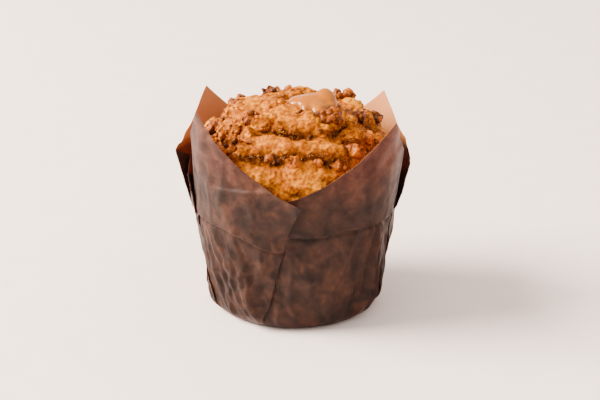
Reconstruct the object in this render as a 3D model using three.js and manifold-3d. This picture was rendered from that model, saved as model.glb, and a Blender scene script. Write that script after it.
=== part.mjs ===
// A streusel muffin standing in a tulip wrapper, the cup that one square of baking paper makes
// when it is pleated round a muffin. Millimetres, +Z up. The origin is on the table under the
// middle of the base, and -Y is the front. Angles round the cup are counted from the front
// towards +X, in degrees.
import * as THREE from "three";
import { mergeVertices } from "three/addons/utils/BufferGeometryUtils.js";
import Module from "manifold-3d";

const wasm = await Module();
wasm.setup();

// ---- Driving dimensions ----

// The square of paper, and how far its middle lies off the middle of the cup
const SHEET_SIDE = 153;
const SHEET_SHIFT_LEFT = 1.5;
const SHEET_SHIFT_FRONT = 3;

// The cup that it is pressed into
const BASE_FLAT_RADIUS = 27;
const HEEL_RADIUS = 5;
const TIN_DEPTH = 39; // height of the crease that the rim of the tin leaves
const WALL_LEAN = 8; // degrees outwards

// The paper, crumpled and thick with oil, and the air between two layers in a pleat
const PAPER = 0.4;
const LAYER_GAP = 0.3;
const PLEAT_START = 2; // distance past the base's flat where the pleats begin
const PLEAT_STANDS = 8.5; // distance past it where they stand up as sharp ridges
const PLEAT_FOLDS = 19; // distance past it where they have folded over

// The muffin
const BAKED_CLEARANCE = 0.5; // between the crumb and the paper
const SHOULDER_RISE = 11; // from the crease to where the dome begins
const DOME_HEIGHT = 29;
const SHOULDER_DRAW_IN = 0.4; // how much narrower the shoulder is than the crumb at the crease
const DOME_FULLNESS = 2.15; // 2 is an ellipse, more is squarer

// What lies on the dome
const TOPPING_CLEARANCE = 0.3;
const CRUMB_SCALE = 1;
const CARAMEL_LENGTH = 19;
const CARAMEL_WIDTH = 12;
const CARAMEL_THICKNESS = 6.4;
const CARAMEL_PEAK_RADIUS = 3.4;

// The six panels between the pleats. tipAngle is where the middle line of the panel stands on
// the cup, sheetAngle where that line lies on the square, and lean is how far the paper above
// the crease leans out there, in degrees. A panel with a corner of the square has a point.
const halfSide = SHEET_SIDE / 2;
const sheetReach = {
  front: halfSide + SHEET_SHIFT_FRONT,
  back: halfSide - SHEET_SHIFT_FRONT,
  left: halfSide + SHEET_SHIFT_LEFT,
  right: halfSide - SHEET_SHIFT_LEFT,
};
const cornerAngle = (across, ahead) => THREE.MathUtils.radToDeg(Math.atan2(across, ahead));
const frontRight = cornerAngle(sheetReach.right, sheetReach.front);
const backRight = cornerAngle(sheetReach.right, -sheetReach.back);
const backLeft = 360 - cornerAngle(sheetReach.left, -sheetReach.back);
const frontLeft = 360 - cornerAngle(sheetReach.left, sheetReach.front);
const PANELS = [
  { tipAngle: 51.5, sheetAngle: frontRight, lean: 11 },
  { tipAngle: 74, sheetAngle: 66, lean: 5 },
  { tipAngle: 129, sheetAngle: backRight, lean: 11 },
  { tipAngle: 232, sheetAngle: backLeft, lean: 9 },
  { tipAngle: 275, sheetAngle: 287, lean: 2 },
  { tipAngle: 305, sheetAngle: frontLeft, lean: 5.5 },
];

// The pleat after each panel. The angles are where its visible fold stands at the base, at the
// crease and RISE_ABOVE_CREASE higher. over says which of its two panels is the outer one, and
// standOff how far the fold has sprung away from the cup at the top.
const RISE_ABOVE_CREASE = 14;
const PLEATS = [
  { base: 56, crease: 66, top: 71, over: "before", standOff: 0.6 },
  { base: 76, crease: 80, top: 90, over: "after", standOff: 3 },
  { base: 172, crease: 178, top: 183, over: "after", standOff: 1 },
  { base: 277, crease: 270, top: 267, over: "before", standOff: 2.6 },
  { base: 300, crease: 288, top: 281, over: "before", standOff: 0.6 },
  { base: 339, crease: 356, top: 363, over: "before", standOff: 4.4 },
];

// Streusel crumbs: angle round the dome, distance from its axis as a share of its radius,
// radius of the crumb, and how much longer it is than wide along the turn of its long side
const CRUMBS = [
  { angle: 221, out: 0.39, radius: 3.0, stretch: 1.1, turn: 0 },
  { angle: 188, out: 0.36, radius: 2.3, stretch: 1.0, turn: 0 },
  { angle: 37, out: 0.556, radius: 4.9, stretch: 1.35, turn: 10 },
  { angle: 278, out: 0.82, radius: 3.6, stretch: 1.1, turn: 40 },
  { angle: 298, out: 0.806, radius: 1.9, stretch: 1.2, turn: 0 },
  { angle: 315, out: 0.587, radius: 3.3, stretch: 1.6, turn: 95 },
  { angle: 345, out: 0.87, radius: 2.6, stretch: 1.3, turn: 0 },
  { angle: 359, out: 0.882, radius: 2.8, stretch: 1.4, turn: 0 },
  { angle: 14, out: 0.888, radius: 2.0, stretch: 1.1, turn: 0 },
  { angle: 26, out: 0.919, radius: 2.9, stretch: 1.3, turn: -20 },
  { angle: 41, out: 0.867, radius: 3.8, stretch: 1.3, turn: -15 },
  { angle: 59, out: 0.816, radius: 3.5, stretch: 1.2, turn: 0 },
  { angle: 78, out: 0.88, radius: 3.3, stretch: 1.1, turn: 30 },
  { angle: 76, out: 0.663, radius: 2.9, stretch: 1.3, turn: 0 },
  { angle: 314, out: 0.873, radius: 3.4, stretch: 1.2, turn: 20 },
  { angle: 298, out: 0.935, radius: 2.5, stretch: 1.3, turn: 10 },
  { angle: 96, out: 0.8, radius: 3.7, stretch: 1.3, turn: 30 },
  { angle: 113, out: 0.92, radius: 2.7, stretch: 1.2, turn: 0 },
  { angle: 125, out: 0.6, radius: 4.2, stretch: 1.2, turn: 70 },
  { angle: 140, out: 0.84, radius: 3.2, stretch: 1.4, turn: 10 },
  { angle: 160, out: 0.66, radius: 2.8, stretch: 1.2, turn: 0 },
  { angle: 168, out: 0.9, radius: 3.6, stretch: 1.2, turn: -20 },
  { angle: 194, out: 0.72, radius: 4.0, stretch: 1.3, turn: 20 },
  { angle: 206, out: 0.91, radius: 2.6, stretch: 1.1, turn: 0 },
  { angle: 228, out: 0.76, radius: 3.7, stretch: 1.3, turn: 50 },
  { angle: 250, out: 0.9, radius: 3.1, stretch: 1.2, turn: 0 },
  { angle: 256, out: 0.62, radius: 2.9, stretch: 1.2, turn: 20 },
];

// Swells (rise above 0) and splits (rise below 0) of the dome: angle and share of the radius
// where each is centred, its two half widths, round the dome and down it, and its rise
const RELIEF = [
  { angle: 344, out: 0.754, round: 9, down: 4.5, rise: 1.6 },
  { angle: 27, out: 0.755, round: 9, down: 5, rise: 1.4 },
  { angle: 357, out: 0.952, round: 12, down: 4, rise: 0.9 },
  { angle: 349, out: 0.581, round: 6, down: 2.6, rise: -2.6 },
  { angle: 354, out: 0.419, round: 8, down: 3.5, rise: 1.2 },
  { angle: 110, out: 0.75, round: 11, down: 5, rise: 1.4 },
  { angle: 150, out: 0.5, round: 9, down: 5, rise: 1.1 },
  { angle: 178, out: 0.8, round: 3.5, down: 7, rise: -1.8 },
  { angle: 205, out: 0.6, round: 9, down: 6, rise: 1.5 },
  { angle: 255, out: 0.78, round: 8, down: 5, rise: 1.3 },
  { angle: 281, out: 0.579, round: 8, down: 5, rise: 1.3 },
];

// ---- Small helpers ----

const rad = THREE.MathUtils.degToRad;
const deg = THREE.MathUtils.radToDeg;
const lerp = THREE.MathUtils.lerp;
const clamp = THREE.MathUtils.clamp;
const smooth = (t) => THREE.MathUtils.smoothstep(t, 0, 1);

function onCup(angle, radius, z) {
  return new THREE.Vector3(radius * Math.sin(rad(angle)), -radius * Math.cos(rad(angle)), z);
}

// Repeatable random numbers from 0 to 1
function randomFrom(seed) {
  let state = seed * 7919 + 13;
  return () => {
    state = (state * 16807) % 2147483647;
    return state / 2147483647;
  };
}

function geometryFrom(points, triangles) {
  const geometry = new THREE.BufferGeometry();
  geometry.setAttribute("position", new THREE.Float32BufferAttribute(points.flatMap((p) => p.toArray()), 3));
  geometry.setIndex(triangles.flat());
  return geometry;
}

function solidFrom(geometry) {
  const bare = geometry.clone();
  bare.deleteAttribute("normal");
  bare.deleteAttribute("uv");
  const merged = mergeVertices(bare, 1e-4);
  return new wasm.Manifold(
    new wasm.Mesh({
      numProp: 3,
      vertProperties: merged.attributes.position.array,
      triVerts: new Uint32Array(merged.index.array),
    }),
  );
}

function geometryOf(solid) {
  const mesh = solid.getMesh();
  const geometry = new THREE.BufferGeometry();
  geometry.setAttribute("position", new THREE.BufferAttribute(new Float32Array(mesh.vertProperties), 3));
  geometry.setIndex(new THREE.BufferAttribute(new Uint32Array(mesh.triVerts), 1));
  return geometry;
}

// ---- The cup's profile ----

const layerPitch = PAPER + LAYER_GAP;
const heelTurn = rad(90 - WALL_LEAN);
const heelTop = {
  radius: BASE_FLAT_RADIUS + HEEL_RADIUS * Math.sin(heelTurn),
  z: HEEL_RADIUS * (1 - Math.cos(heelTurn)),
  reach: BASE_FLAT_RADIUS + HEEL_RADIUS * heelTurn,
};
const wallLength = (TIN_DEPTH - heelTop.z) / Math.cos(rad(WALL_LEAN));
const creaseReach = heelTop.reach + wallLength;
const creaseRadius = heelTop.radius + wallLength * Math.sin(rad(WALL_LEAN));

// The middle of the paper at a distance from the sheet's centre, with its outward normal
function cupProfile(reach, upperLean) {
  if (reach <= BASE_FLAT_RADIUS) return { radius: reach, z: PAPER / 2, out: 0, up: -1 };
  const turn = (reach - BASE_FLAT_RADIUS) / HEEL_RADIUS;
  if (turn <= heelTurn) {
    return {
      radius: BASE_FLAT_RADIUS + HEEL_RADIUS * Math.sin(turn),
      z: PAPER / 2 + HEEL_RADIUS * (1 - Math.cos(turn)),
      out: Math.sin(turn),
      up: -Math.cos(turn),
    };
  }
  const above = Math.max(0, reach - creaseReach);
  const below = reach - above - heelTop.reach;
  const wall = rad(WALL_LEAN);
  const upper = rad(upperLean);
  return {
    radius: heelTop.radius + below * Math.sin(wall) + above * Math.sin(upper),
    z: PAPER / 2 + heelTop.z + below * Math.cos(wall) + above * Math.cos(upper),
    out: Math.cos(above > 0 ? upper : wall),
    up: -Math.sin(above > 0 ? upper : wall),
  };
}

// Lean above the crease at an angle round the cup, eased from panel to panel
function leanAt(angle) {
  const turned = THREE.MathUtils.euclideanModulo(angle - PANELS[0].tipAngle, 360) + PANELS[0].tipAngle;
  for (let i = 0; i < PANELS.length; i++) {
    const from = PANELS[i];
    const to = PANELS[(i + 1) % PANELS.length];
    const end = to.tipAngle + (i + 1 === PANELS.length ? 360 : 0);
    if (turned <= end) return lerp(from.lean, to.lean, smooth((turned - from.tipAngle) / (end - from.tipAngle)));
  }
  return PANELS[0].lean;
}

const meanLean = PANELS.reduce((sum, panel) => sum + panel.lean, 0) / PANELS.length;

// ---- The pleated sheet ----

// How much more paper there is at this reach than the cup's ring takes
const fullness = (reach) => reach / cupProfile(reach, meanLean).radius;
const creaseFullness = fullness(creaseReach);

function sheetEdgeReach(sheetAngle) {
  const across = Math.sin(rad(sheetAngle));
  const ahead = Math.cos(rad(sheetAngle));
  const reachAcross = across > 0 ? sheetReach.right / across : -sheetReach.left / across;
  const reachAhead = ahead > 0 ? sheetReach.front / ahead : -sheetReach.back / ahead;
  return Math.min(Math.abs(reachAcross), Math.abs(reachAhead));
}

function foldAngle(pleat, reach) {
  if (reach < creaseReach) {
    const climb = clamp((reach - BASE_FLAT_RADIUS) / (creaseReach - BASE_FLAT_RADIUS), 0, 1);
    return lerp(pleat.base, pleat.crease, climb);
  }
  return lerp(pleat.crease, pleat.top, (reach - creaseReach) / RISE_ABOVE_CREASE);
}

const COLUMN_STEP = 8; // most degrees from one column to the next, at the crease
const FOLD_STEPS = 2; // facets in the round of a fold
const RAMP = 14; // degrees over which a panel climbs onto a pleat
const RAMP_LEAD = 3; // degrees before the pleat where the climb ends
const CLEAR_ABOVE = 10; // how far past the edge of the layers under it a panel stays raised
const FLAT_SPREAD = 1.6; // half width of a pleat's columns where it is still flat, in mm
const RIDGE_SPREAD = 0.3; // and where it stands up as a ridge
const SPRING_WIDTH = 26; // degrees behind a sprung fold that stand off with it
const STAND_OFF_POWER = 1.5;

// How far, in degrees round the cup, the paper behind a fold goes on before the sheet ends
function coveredBehind(reach, full, foldSheetAngle, hidden, direction) {
  const onSheet = (behind) =>
    sheetEdgeReach(foldSheetAngle + (direction * behind) / full) >= reach - CLEAR_ABOVE;
  if (onSheet(hidden)) return hidden;
  let inside = 0;
  let outside = hidden;
  for (let step = 0; step < 12; step++) {
    const middle = (inside + outside) / 2;
    if (onSheet(middle)) inside = middle;
    else outside = middle;
  }
  return inside;
}

// One pleat at one reach. The paper turns back at first and forward again at second, and one
// of the two is the fold that shows.
function pleatAt(i, reach, full, centres) {
  const pleat = PLEATS[i];
  const next = (i + 1) % PANELS.length;
  const turn = next === 0 ? 360 : 0;
  const sheetSpan = PANELS[next].sheetAngle + turn - PANELS[i].sheetAngle;
  const cupSpan = centres[next] + turn - centres[i];
  const hidden = Math.max(0, (sheetSpan * full - cupSpan) / 2);
  const fold = foldAngle(pleat, reach);
  const before = pleat.over === "before";
  const outer = before ? i : next;
  const outerTurn = before ? 0 : turn;
  const foldSheetAngle = PANELS[outer].sheetAngle + outerTurn + (fold - centres[outer] - outerTurn) / full;
  const rise = clamp((reach - creaseReach) / RISE_ABOVE_CREASE, 0, 1.3);
  return {
    over: pleat.over,
    fold,
    first: before ? fold : fold + hidden,
    second: before ? fold - hidden : fold,
    covered: coveredBehind(reach, full, foldSheetAngle, hidden, before ? 1 : -1),
    lift: pleat.standOff * rise,
  };
}

// The state of the whole sheet at one reach. A pleat first stands up as a ridge and then
// folds over: raised and folded say how far it has done so.
function sheetAt(reach) {
  const full = fullness(reach);
  const beyondFlat = reach - BASE_FLAT_RADIUS;
  const spread = clamp((full - 1) / (creaseFullness - 1), 0, 1);
  const centres = PANELS.map((panel) => lerp(panel.sheetAngle, panel.tipAngle, spread));
  return {
    full,
    centres,
    pleats: PLEATS.map((_, i) => pleatAt(i, reach, full, centres)),
    raised: smooth((beyondFlat - PLEAT_START) / (PLEAT_STANDS - PLEAT_START)),
    folded: smooth((beyondFlat - PLEAT_STANDS) / (PLEAT_FOLDS - PLEAT_STANDS)),
    degreesFor: (length) => deg(length / cupProfile(reach, meanLean).radius),
  };
}

// How far a sprung fold lifts its two outer layers, at an angle behind the fold
function springAt(pleat, angle) {
  const behind = clamp(Math.abs(pleat.fold - angle) / SPRING_WIDTH, 0, 1);
  return pleat.lift * Math.pow(1 - behind, STAND_OFF_POWER);
}

// How far a pleat raises the panel that runs over it
function raiseAt(pleat, angle) {
  const behind = pleat.over === "before" ? pleat.fold - angle : angle - pleat.fold;
  const climb = smooth((pleat.covered + RAMP_LEAD + RAMP - behind) / RAMP);
  return 2 * layerPitch * climb + (behind > 0 ? springAt(pleat, angle) : pleat.lift);
}

// How far a panel stands off the cup at an angle, over every pleat that it and the panels
// under it run over
function panelOffset(pleats, panel, angle) {
  const count = pleats.length;
  const at = (i) => pleats[THREE.MathUtils.euclideanModulo(i, count)];
  const turned = (i) => angle - 360 * Math.floor(i / count);
  let offset = 0;
  for (let i = panel; at(i).over === "before" && i < panel + count; i++) offset += raiseAt(at(i), turned(i));
  for (let i = panel - 1; at(i).over === "after" && i > panel - count; i--) offset += raiseAt(at(i), turned(i));
  return offset;
}

// Where a pleat's turns stand, from side by side where it is a ridge to folded over
function turnsOf({ raised, folded, degreesFor }, { first, second }) {
  const middle = (first + second) / 2;
  const spread = degreesFor(lerp(FLAT_SPREAD, RIDGE_SPREAD, raised));
  return { back: lerp(middle - spread, first, folded), forward: lerp(middle + spread, second, folded) };
}

// Where a panel begins and ends, at the turns of the pleats on either side of it
function panelEnds(sheet, i) {
  const wrapped = i === 0 ? 360 : 0;
  const before = sheet.pleats[(i + PLEATS.length - 1) % PLEATS.length];
  return {
    start: turnsOf(sheet, before).forward - wrapped,
    end: turnsOf(sheet, sheet.pleats[i]).back,
  };
}

// How many columns each panel has before and after its middle line, and how many each
// pleat's hidden layer has
const creaseSheet = sheetAt(creaseReach);
const stepsFor = (span) => Math.max(2, Math.ceil(span / COLUMN_STEP));
const panelSteps = PANELS.map((_, i) => {
  const { start, end } = panelEnds(creaseSheet, i);
  return [stepsFor(creaseSheet.centres[i] - start), stepsFor(end - creaseSheet.centres[i])];
});
const hiddenSteps = creaseSheet.pleats.map(({ first, second }) => stepsFor(first - second));

// The columns of one panel, from the turn before it to the turn after it
function panelColumns(sheet, i) {
  const { full, centres, pleats, raised } = sheet;
  const { start, end } = panelEnds(sheet, i);
  const [toMiddle, fromMiddle] = panelSteps[i];
  const angles = [];
  for (let k = 0; k < toMiddle; k++) angles.push(lerp(start, centres[i], k / toMiddle));
  for (let k = 0; k <= fromMiddle; k++) angles.push(lerp(centres[i], end, k / fromMiddle));
  return angles.map((angle) => ({
    angle,
    offset: raised * panelOffset(pleats, i, angle),
    sheetAngle: PANELS[i].sheetAngle + (angle - centres[i]) / full,
  }));
}

// The columns of one pleat: the turn back, the layer that runs back, the turn forward
function pleatColumns(sheet, i) {
  const { full, centres, pleats, raised, folded, degreesFor } = sheet;
  const pleat = pleats[i];
  const turns = turnsOf(sheet, pleat);
  const fromOuter = pleat.over === "before";
  const inner = fromOuter ? i + 1 : i;
  const innerTurn = inner === pleats.length ? 360 : 0;
  const steps = 2 * FOLD_STEPS + hiddenSteps[i];
  const columns = [];
  for (let k = 1; k < steps; k++) {
    const firstTurn = clamp(k / FOLD_STEPS, 0, 1);
    const back = clamp((k - FOLD_STEPS) / hiddenSteps[i], 0, 1);
    const secondTurn = clamp((k - FOLD_STEPS - hiddenSteps[i]) / FOLD_STEPS, 0, 1);
    const bulge = Math.sin(Math.PI * firstTurn) - Math.sin(Math.PI * secondTurn);
    const run = lerp(pleat.first, pleat.second, back);
    const foldedAngle = lerp(turns.back, turns.forward, back) + bulge * degreesFor(layerPitch / 2);
    const ridgeAngle = lerp(turns.back, turns.forward, k / steps);
    const foldedLevel = (1 - Math.cos(Math.PI * firstTurn) + 1 - Math.cos(Math.PI * secondTurn)) / 2;
    const level = lerp((2 * k) / steps, foldedLevel, folded);
    const height = fromOuter ? 2 - level : level;
    const under = panelOffset(pleats, inner % pleats.length, run - innerTurn);
    columns.push({
      angle: lerp(ridgeAngle, foldedAngle, folded),
      offset: raised * (under + height * layerPitch + Math.min(height, 1) * springAt(pleat, run)),
      sheetAngle: PANELS[i].sheetAngle + (pleat.first - centres[i] + pleat.first - run) / full,
    });
  }
  return columns;
}

// Every column of the sheet at one reach, in order along the paper
function columnsAt(reach) {
  const sheet = sheetAt(reach);
  return PANELS.flatMap((_, i) => [...panelColumns(sheet, i), ...pleatColumns(sheet, i)]);
}

const columnCount = columnsAt(creaseReach).length;

// Where each column meets the edge of the sheet
function edgeReaches() {
  const reaches = [];
  for (let c = 0; c < columnCount; c++) {
    let reach = halfSide + (creaseReach - heelTop.reach) / 4;
    for (let step = 0; step < 30; step++) {
      reach = lerp(reach, sheetEdgeReach(columnsAt(reach)[c].sheetAngle), 0.6);
    }
    reaches.push(reach);
  }
  return reaches;
}

const HEEL_ROWS = 3;
const WALL_ROWS = 3;
const UPPER_ROWS = 3;

// The middle surface of the paper as rows of points, from the flat's rim to the sheet's edge
function paperRows() {
  const topReach = edgeReaches();
  const row = (reachOf) =>
    topReach.map((top, c) => {
      const reach = reachOf(top);
      const { angle, offset } = columnsAt(reach)[c];
      const { radius, z } = cupProfile(reach, leanAt(angle));
      return onCup(angle, radius + offset, z);
    });
  const rows = [];
  const ridgeReach = BASE_FLAT_RADIUS + PLEAT_STANDS;
  for (let i = 0; i <= HEEL_ROWS; i++) {
    rows.push(row(() => lerp(BASE_FLAT_RADIUS, ridgeReach, i / HEEL_ROWS)));
  }
  for (let i = 1; i <= WALL_ROWS; i++) {
    rows.push(row(() => lerp(ridgeReach, creaseReach, i / WALL_ROWS)));
  }
  for (let i = 1; i <= UPPER_ROWS; i++) {
    rows.push(row((top) => lerp(creaseReach, top, i / UPPER_ROWS)));
  }
  return rows;
}

// The paper's outward normal at a point of the grid
function paperNormal(rows, r, c) {
  if (r === 0) return new THREE.Vector3(0, 0, -1);
  const wrap = (i) => (i + columnCount) % columnCount;
  const along = rows[r][wrap(c + 1)].clone().sub(rows[r][wrap(c - 1)]);
  const up = rows[Math.min(r + 1, rows.length - 1)][c].clone().sub(rows[r - 1][c]);
  return along.cross(up).normalize();
}

// Each cell of the grid is cut along its shorter diagonal, so that slanting folds stay smooth
function sheetTriangles(rows, at) {
  const triangles = [];
  for (let r = 0; r < rows.length - 1; r++) {
    for (let c = 0; c < columnCount; c++) {
      const next = (c + 1) % columnCount;
      const [a, b, d, e] = [at(r, c), at(r, next), at(r + 1, next), at(r + 1, c)];
      const rising = rows[r][c].distanceTo(rows[r + 1][next]) < rows[r][next].distanceTo(rows[r + 1][c]);
      triangles.push(...(rising ? [[a, b, d], [a, d, e]] : [[a, b, e], [b, d, e]]));
    }
  }
  return triangles;
}

function wrapperGeometry() {
  const rows = paperRows();
  const points = [];
  for (const side of [1, -1]) {
    rows.forEach((row, r) => {
      row.forEach((point, c) => {
        points.push(point.clone().addScaledVector(paperNormal(rows, r, c), (side * PAPER) / 2));
      });
    });
  }
  const outer = (r, c) => r * columnCount + (c % columnCount);
  const inner = (r, c) => rows.length * columnCount + outer(r, c);
  const underCentre = points.push(new THREE.Vector3(0, 0, 0)) - 1;
  const overCentre = points.push(new THREE.Vector3(0, 0, PAPER)) - 1;
  const last = rows.length - 1;
  const triangles = [
    ...sheetTriangles(rows, outer),
    ...sheetTriangles(rows, inner).map(([a, b, c]) => [a, c, b]),
  ];
  for (let c = 0; c < columnCount; c++) {
    triangles.push([underCentre, outer(0, c + 1), outer(0, c)]);
    triangles.push([overCentre, inner(0, c), inner(0, c + 1)]);
    triangles.push([outer(last, c), outer(last, c + 1), inner(last, c + 1)]);
    triangles.push([outer(last, c), inner(last, c + 1), inner(last, c)]);
  }
  return geometryFrom(points, triangles);
}

// ---- The muffin ----

const MUFFIN_COLUMNS = 48;
const DOME_ROWS = 10;
const crumbInset = PAPER / 2 + BAKED_CLEARANCE;
const shoulderZ = TIN_DEPTH + SHOULDER_RISE;
const domeRadius = creaseRadius - crumbInset - SHOULDER_DRAW_IN;

function domeZ(radius) {
  const share = Math.min(Math.abs(radius) / domeRadius, 1);
  return shoulderZ + DOME_HEIGHT * Math.pow(1 - Math.pow(share, DOME_FULLNESS), 1 / DOME_FULLNESS);
}

function domeNormal(angle, radius) {
  const step = 0.05;
  const inside = Math.min(radius, domeRadius - 2 * step);
  const slope = (domeZ(inside + step) - domeZ(inside - step)) / (2 * step);
  return onCup(angle, -slope, 1).normalize();
}

// Rise of the dome's swells and splits at a point on it
function reliefAt(point) {
  return RELIEF.reduce((sum, { angle, out, round, down, rise }) => {
    const centre = onCup(angle, out * domeRadius, domeZ(out * domeRadius));
    const gap = point.clone().sub(centre);
    const around = gap.dot(onCup(angle + 90, 1, 0));
    const rest = Math.sqrt(Math.max(0, gap.lengthSq() - around * around));
    return sum + rise * Math.exp(-((around / round) ** 2) - (rest / down) ** 2);
  }, 0);
}

function domePoint(angle, share, grown) {
  const radius = share * domeRadius;
  const point = onCup(angle, radius, domeZ(radius));
  return point.addScaledVector(domeNormal(angle, radius), reliefAt(point) + grown);
}

// The baked crumb as one closed surface, grown outwards above the crease by a margin
function muffinGeometry(grown) {
  const profile = [];
  const inset = (reach) => {
    const { radius, z, out, up } = cupProfile(reach, 0);
    return { radius: radius - out * crumbInset, z: z - up * crumbInset };
  };
  for (const share of [0, 0.5, 1]) {
    profile.push(inset(lerp(BASE_FLAT_RADIUS, heelTop.reach, share)));
  }
  for (const share of [0.5, 1]) profile.push(inset(lerp(heelTop.reach, creaseReach, share)));
  const rings = profile.map(({ radius, z }) => (angle) => onCup(angle, radius, z));
  for (let i = 0; i < DOME_ROWS; i++) {
    const share = Math.cos((Math.PI / 2) * (i / DOME_ROWS));
    rings.push((angle) => domePoint(angle, share, grown));
  }
  const points = [new THREE.Vector3(0, 0, profile[0].z)];
  rings.forEach((ring) => {
    for (let c = 0; c < MUFFIN_COLUMNS; c++) points.push(ring((360 * c) / MUFFIN_COLUMNS));
  });
  points.push(domePoint(0, 0, grown));
  const at = (r, c) => 1 + r * MUFFIN_COLUMNS + (c % MUFFIN_COLUMNS);
  const last = rings.length - 1;
  const triangles = [];
  for (let c = 0; c < MUFFIN_COLUMNS; c++) {
    triangles.push([0, at(0, c + 1), at(0, c)]);
    for (let r = 0; r < last; r++) {
      triangles.push([at(r, c), at(r, c + 1), at(r + 1, c + 1)]);
      triangles.push([at(r, c), at(r + 1, c + 1), at(r + 1, c)]);
    }
    triangles.push([at(last, c), at(last, c + 1), points.length - 1]);
  }
  return geometryFrom(points, triangles);
}

// ---- What lies on the dome ----

const CRUMB_SINK = 0.4; // share of a crumb's radius that the dome takes away
const CRUMB_ROUGHNESS = 0.12;
const CRUMB_FACETING = 0.2; // detail smaller than this is left out, in mm

const domeKeepOut = solidFrom(muffinGeometry(TOPPING_CLEARANCE));

// Axes at a point of the dome: along is the direction round it turned by an angle
function domeFrame(angle, share, turn) {
  const normal = domeNormal(angle, share * domeRadius);
  const along = onCup(angle + 90, 1, 0).applyAxisAngle(normal, rad(turn));
  const across = normal.clone().cross(along);
  return { origin: domePoint(angle, share, 0), along, across, normal };
}

// A rough ball on the dome, with its middle and half sizes along the frame's axes
function lumpSolid(frame, centre, size, detail, roughness, seed) {
  const ball = mergeVertices(new THREE.IcosahedronGeometry(1, detail).deleteAttribute("normal").deleteAttribute("uv"));
  const places = ball.attributes.position;
  for (let i = 0; i < places.count; i++) {
    const out = new THREE.Vector3().fromBufferAttribute(places, i);
    const wave = Math.sin(5 * out.x + seed) + Math.sin(6 * out.y + 2 * seed) + Math.sin(5 * out.z + 3 * seed);
    out.multiplyScalar(1 + (roughness * wave) / 2);
    places.setXYZ(i, out.x, out.y, out.z);
  }
  const matrix = new THREE.Matrix4().makeBasis(
    frame.along.clone().multiplyScalar(size.x),
    frame.across.clone().multiplyScalar(size.y),
    frame.normal.clone().multiplyScalar(size.z),
  );
  matrix.setPosition(
    frame.origin
      .clone()
      .addScaledVector(frame.along, centre.x)
      .addScaledVector(frame.across, centre.y)
      .addScaledVector(frame.normal, centre.z),
  );
  return solidFrom(ball.applyMatrix4(matrix));
}

// A crumb is three lumps grown together, cut to sit on the dome
function crumbGeometry({ angle, out, radius, stretch, turn }, seed) {
  const random = randomFrom(seed);
  const frame = domeFrame(angle, out, turn);
  const size = radius * CRUMB_SCALE;
  const lobes = [0, 120, 240].map((lobeTurn, i) => {
    const swing = rad(lobeTurn + 50 * random());
    const spread = size * 0.38;
    const lump = size * (i === 0 ? 0.76 : 0.56 + 0.14 * random());
    const centre = new THREE.Vector3(
      spread * stretch * Math.cos(swing),
      spread * Math.sin(swing),
      size * (0.72 - CRUMB_SINK + 0.2 * (random() - 0.5)),
    );
    const half = new THREE.Vector3(lump * Math.sqrt(stretch), lump, lump);
    return lumpSolid(frame, centre, half, i === 0 ? 1 : 0, CRUMB_ROUGHNESS, seed + i);
  });
  const crumb = lobes.reduce((sum, lobe) => sum.add(lobe));
  return geometryOf(crumb.subtract(domeKeepOut).simplify(CRUMB_FACETING));
}

const CARAMEL_ANGLE = 62;
const CARAMEL_OUT = 0.2;

// A lump of soft caramel, with a peak where it was pulled off and a drip down the front
function caramelGeometry() {
  const frame = domeFrame(CARAMEL_ANGLE, CARAMEL_OUT, -CARAMEL_ANGLE);
  const body = new THREE.Vector3(CARAMEL_LENGTH / 2, CARAMEL_WIDTH / 2, CARAMEL_THICKNESS / 2);
  const peak = CARAMEL_PEAK_RADIUS;
  const peakCentre = new THREE.Vector3(CARAMEL_LENGTH * 0.24, CARAMEL_WIDTH * 0.12, CARAMEL_THICKNESS * 0.36);
  const drip = new THREE.Vector3(CARAMEL_LENGTH * 0.2, CARAMEL_WIDTH * 0.3, CARAMEL_THICKNESS * 0.32);
  const dripCentre = new THREE.Vector3(-CARAMEL_LENGTH * 0.05, -CARAMEL_WIDTH * 0.42, 0.3);
  return geometryOf(
    lumpSolid(frame, new THREE.Vector3(0, 0, 0.6), body, 2, 0, 0)
      .add(lumpSolid(frame, peakCentre, new THREE.Vector3(peak * 1.3, peak, peak), 1, 0, 0))
      .add(lumpSolid(frame, dripCentre, drip, 1, 0, 0))
      .subtract(domeKeepOut)
      .simplify(CRUMB_FACETING),
  );
}

// ---- The object ----

const paperMaterial = new THREE.MeshStandardMaterial({ color: 0x6b4536, roughness: 0.8, metalness: 0 });
const crumbMaterial = new THREE.MeshStandardMaterial({ color: 0xc98a3e, roughness: 0.9, metalness: 0 });
const streuselMaterial = new THREE.MeshStandardMaterial({ color: 0xb5651d, roughness: 0.85, metalness: 0 });
const caramelMaterial = new THREE.MeshStandardMaterial({ color: 0xc9883f, roughness: 0.25, metalness: 0 });

const muffin = new THREE.Group();

function addPart(name, geometry, material) {
  const mesh = new THREE.Mesh(geometry, material);
  mesh.name = name;
  muffin.add(mesh);
}

addPart("tulip_wrapper", wrapperGeometry(), paperMaterial);
addPart("muffin_body", muffinGeometry(0), crumbMaterial);
addPart("caramel_chunk", caramelGeometry(), caramelMaterial);
CRUMBS.forEach((crumb, i) => {
  addPart(`streusel_${String(i + 1).padStart(2, "0")}`, crumbGeometry(crumb, i + 1), streuselMaterial);
});

export default muffin;
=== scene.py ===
"""Looks for the streusel muffin in its tulip wrapper.

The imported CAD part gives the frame, and the places and sizes of the caramel and of the crumbs. The
wrapper and the crust repeat the part's driving dimensions. Shapes are worked out in millimetres and
turned into metres when a mesh is made.
Angles round the cup are counted from the front (-Y) towards +X.
"""

import math

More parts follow.
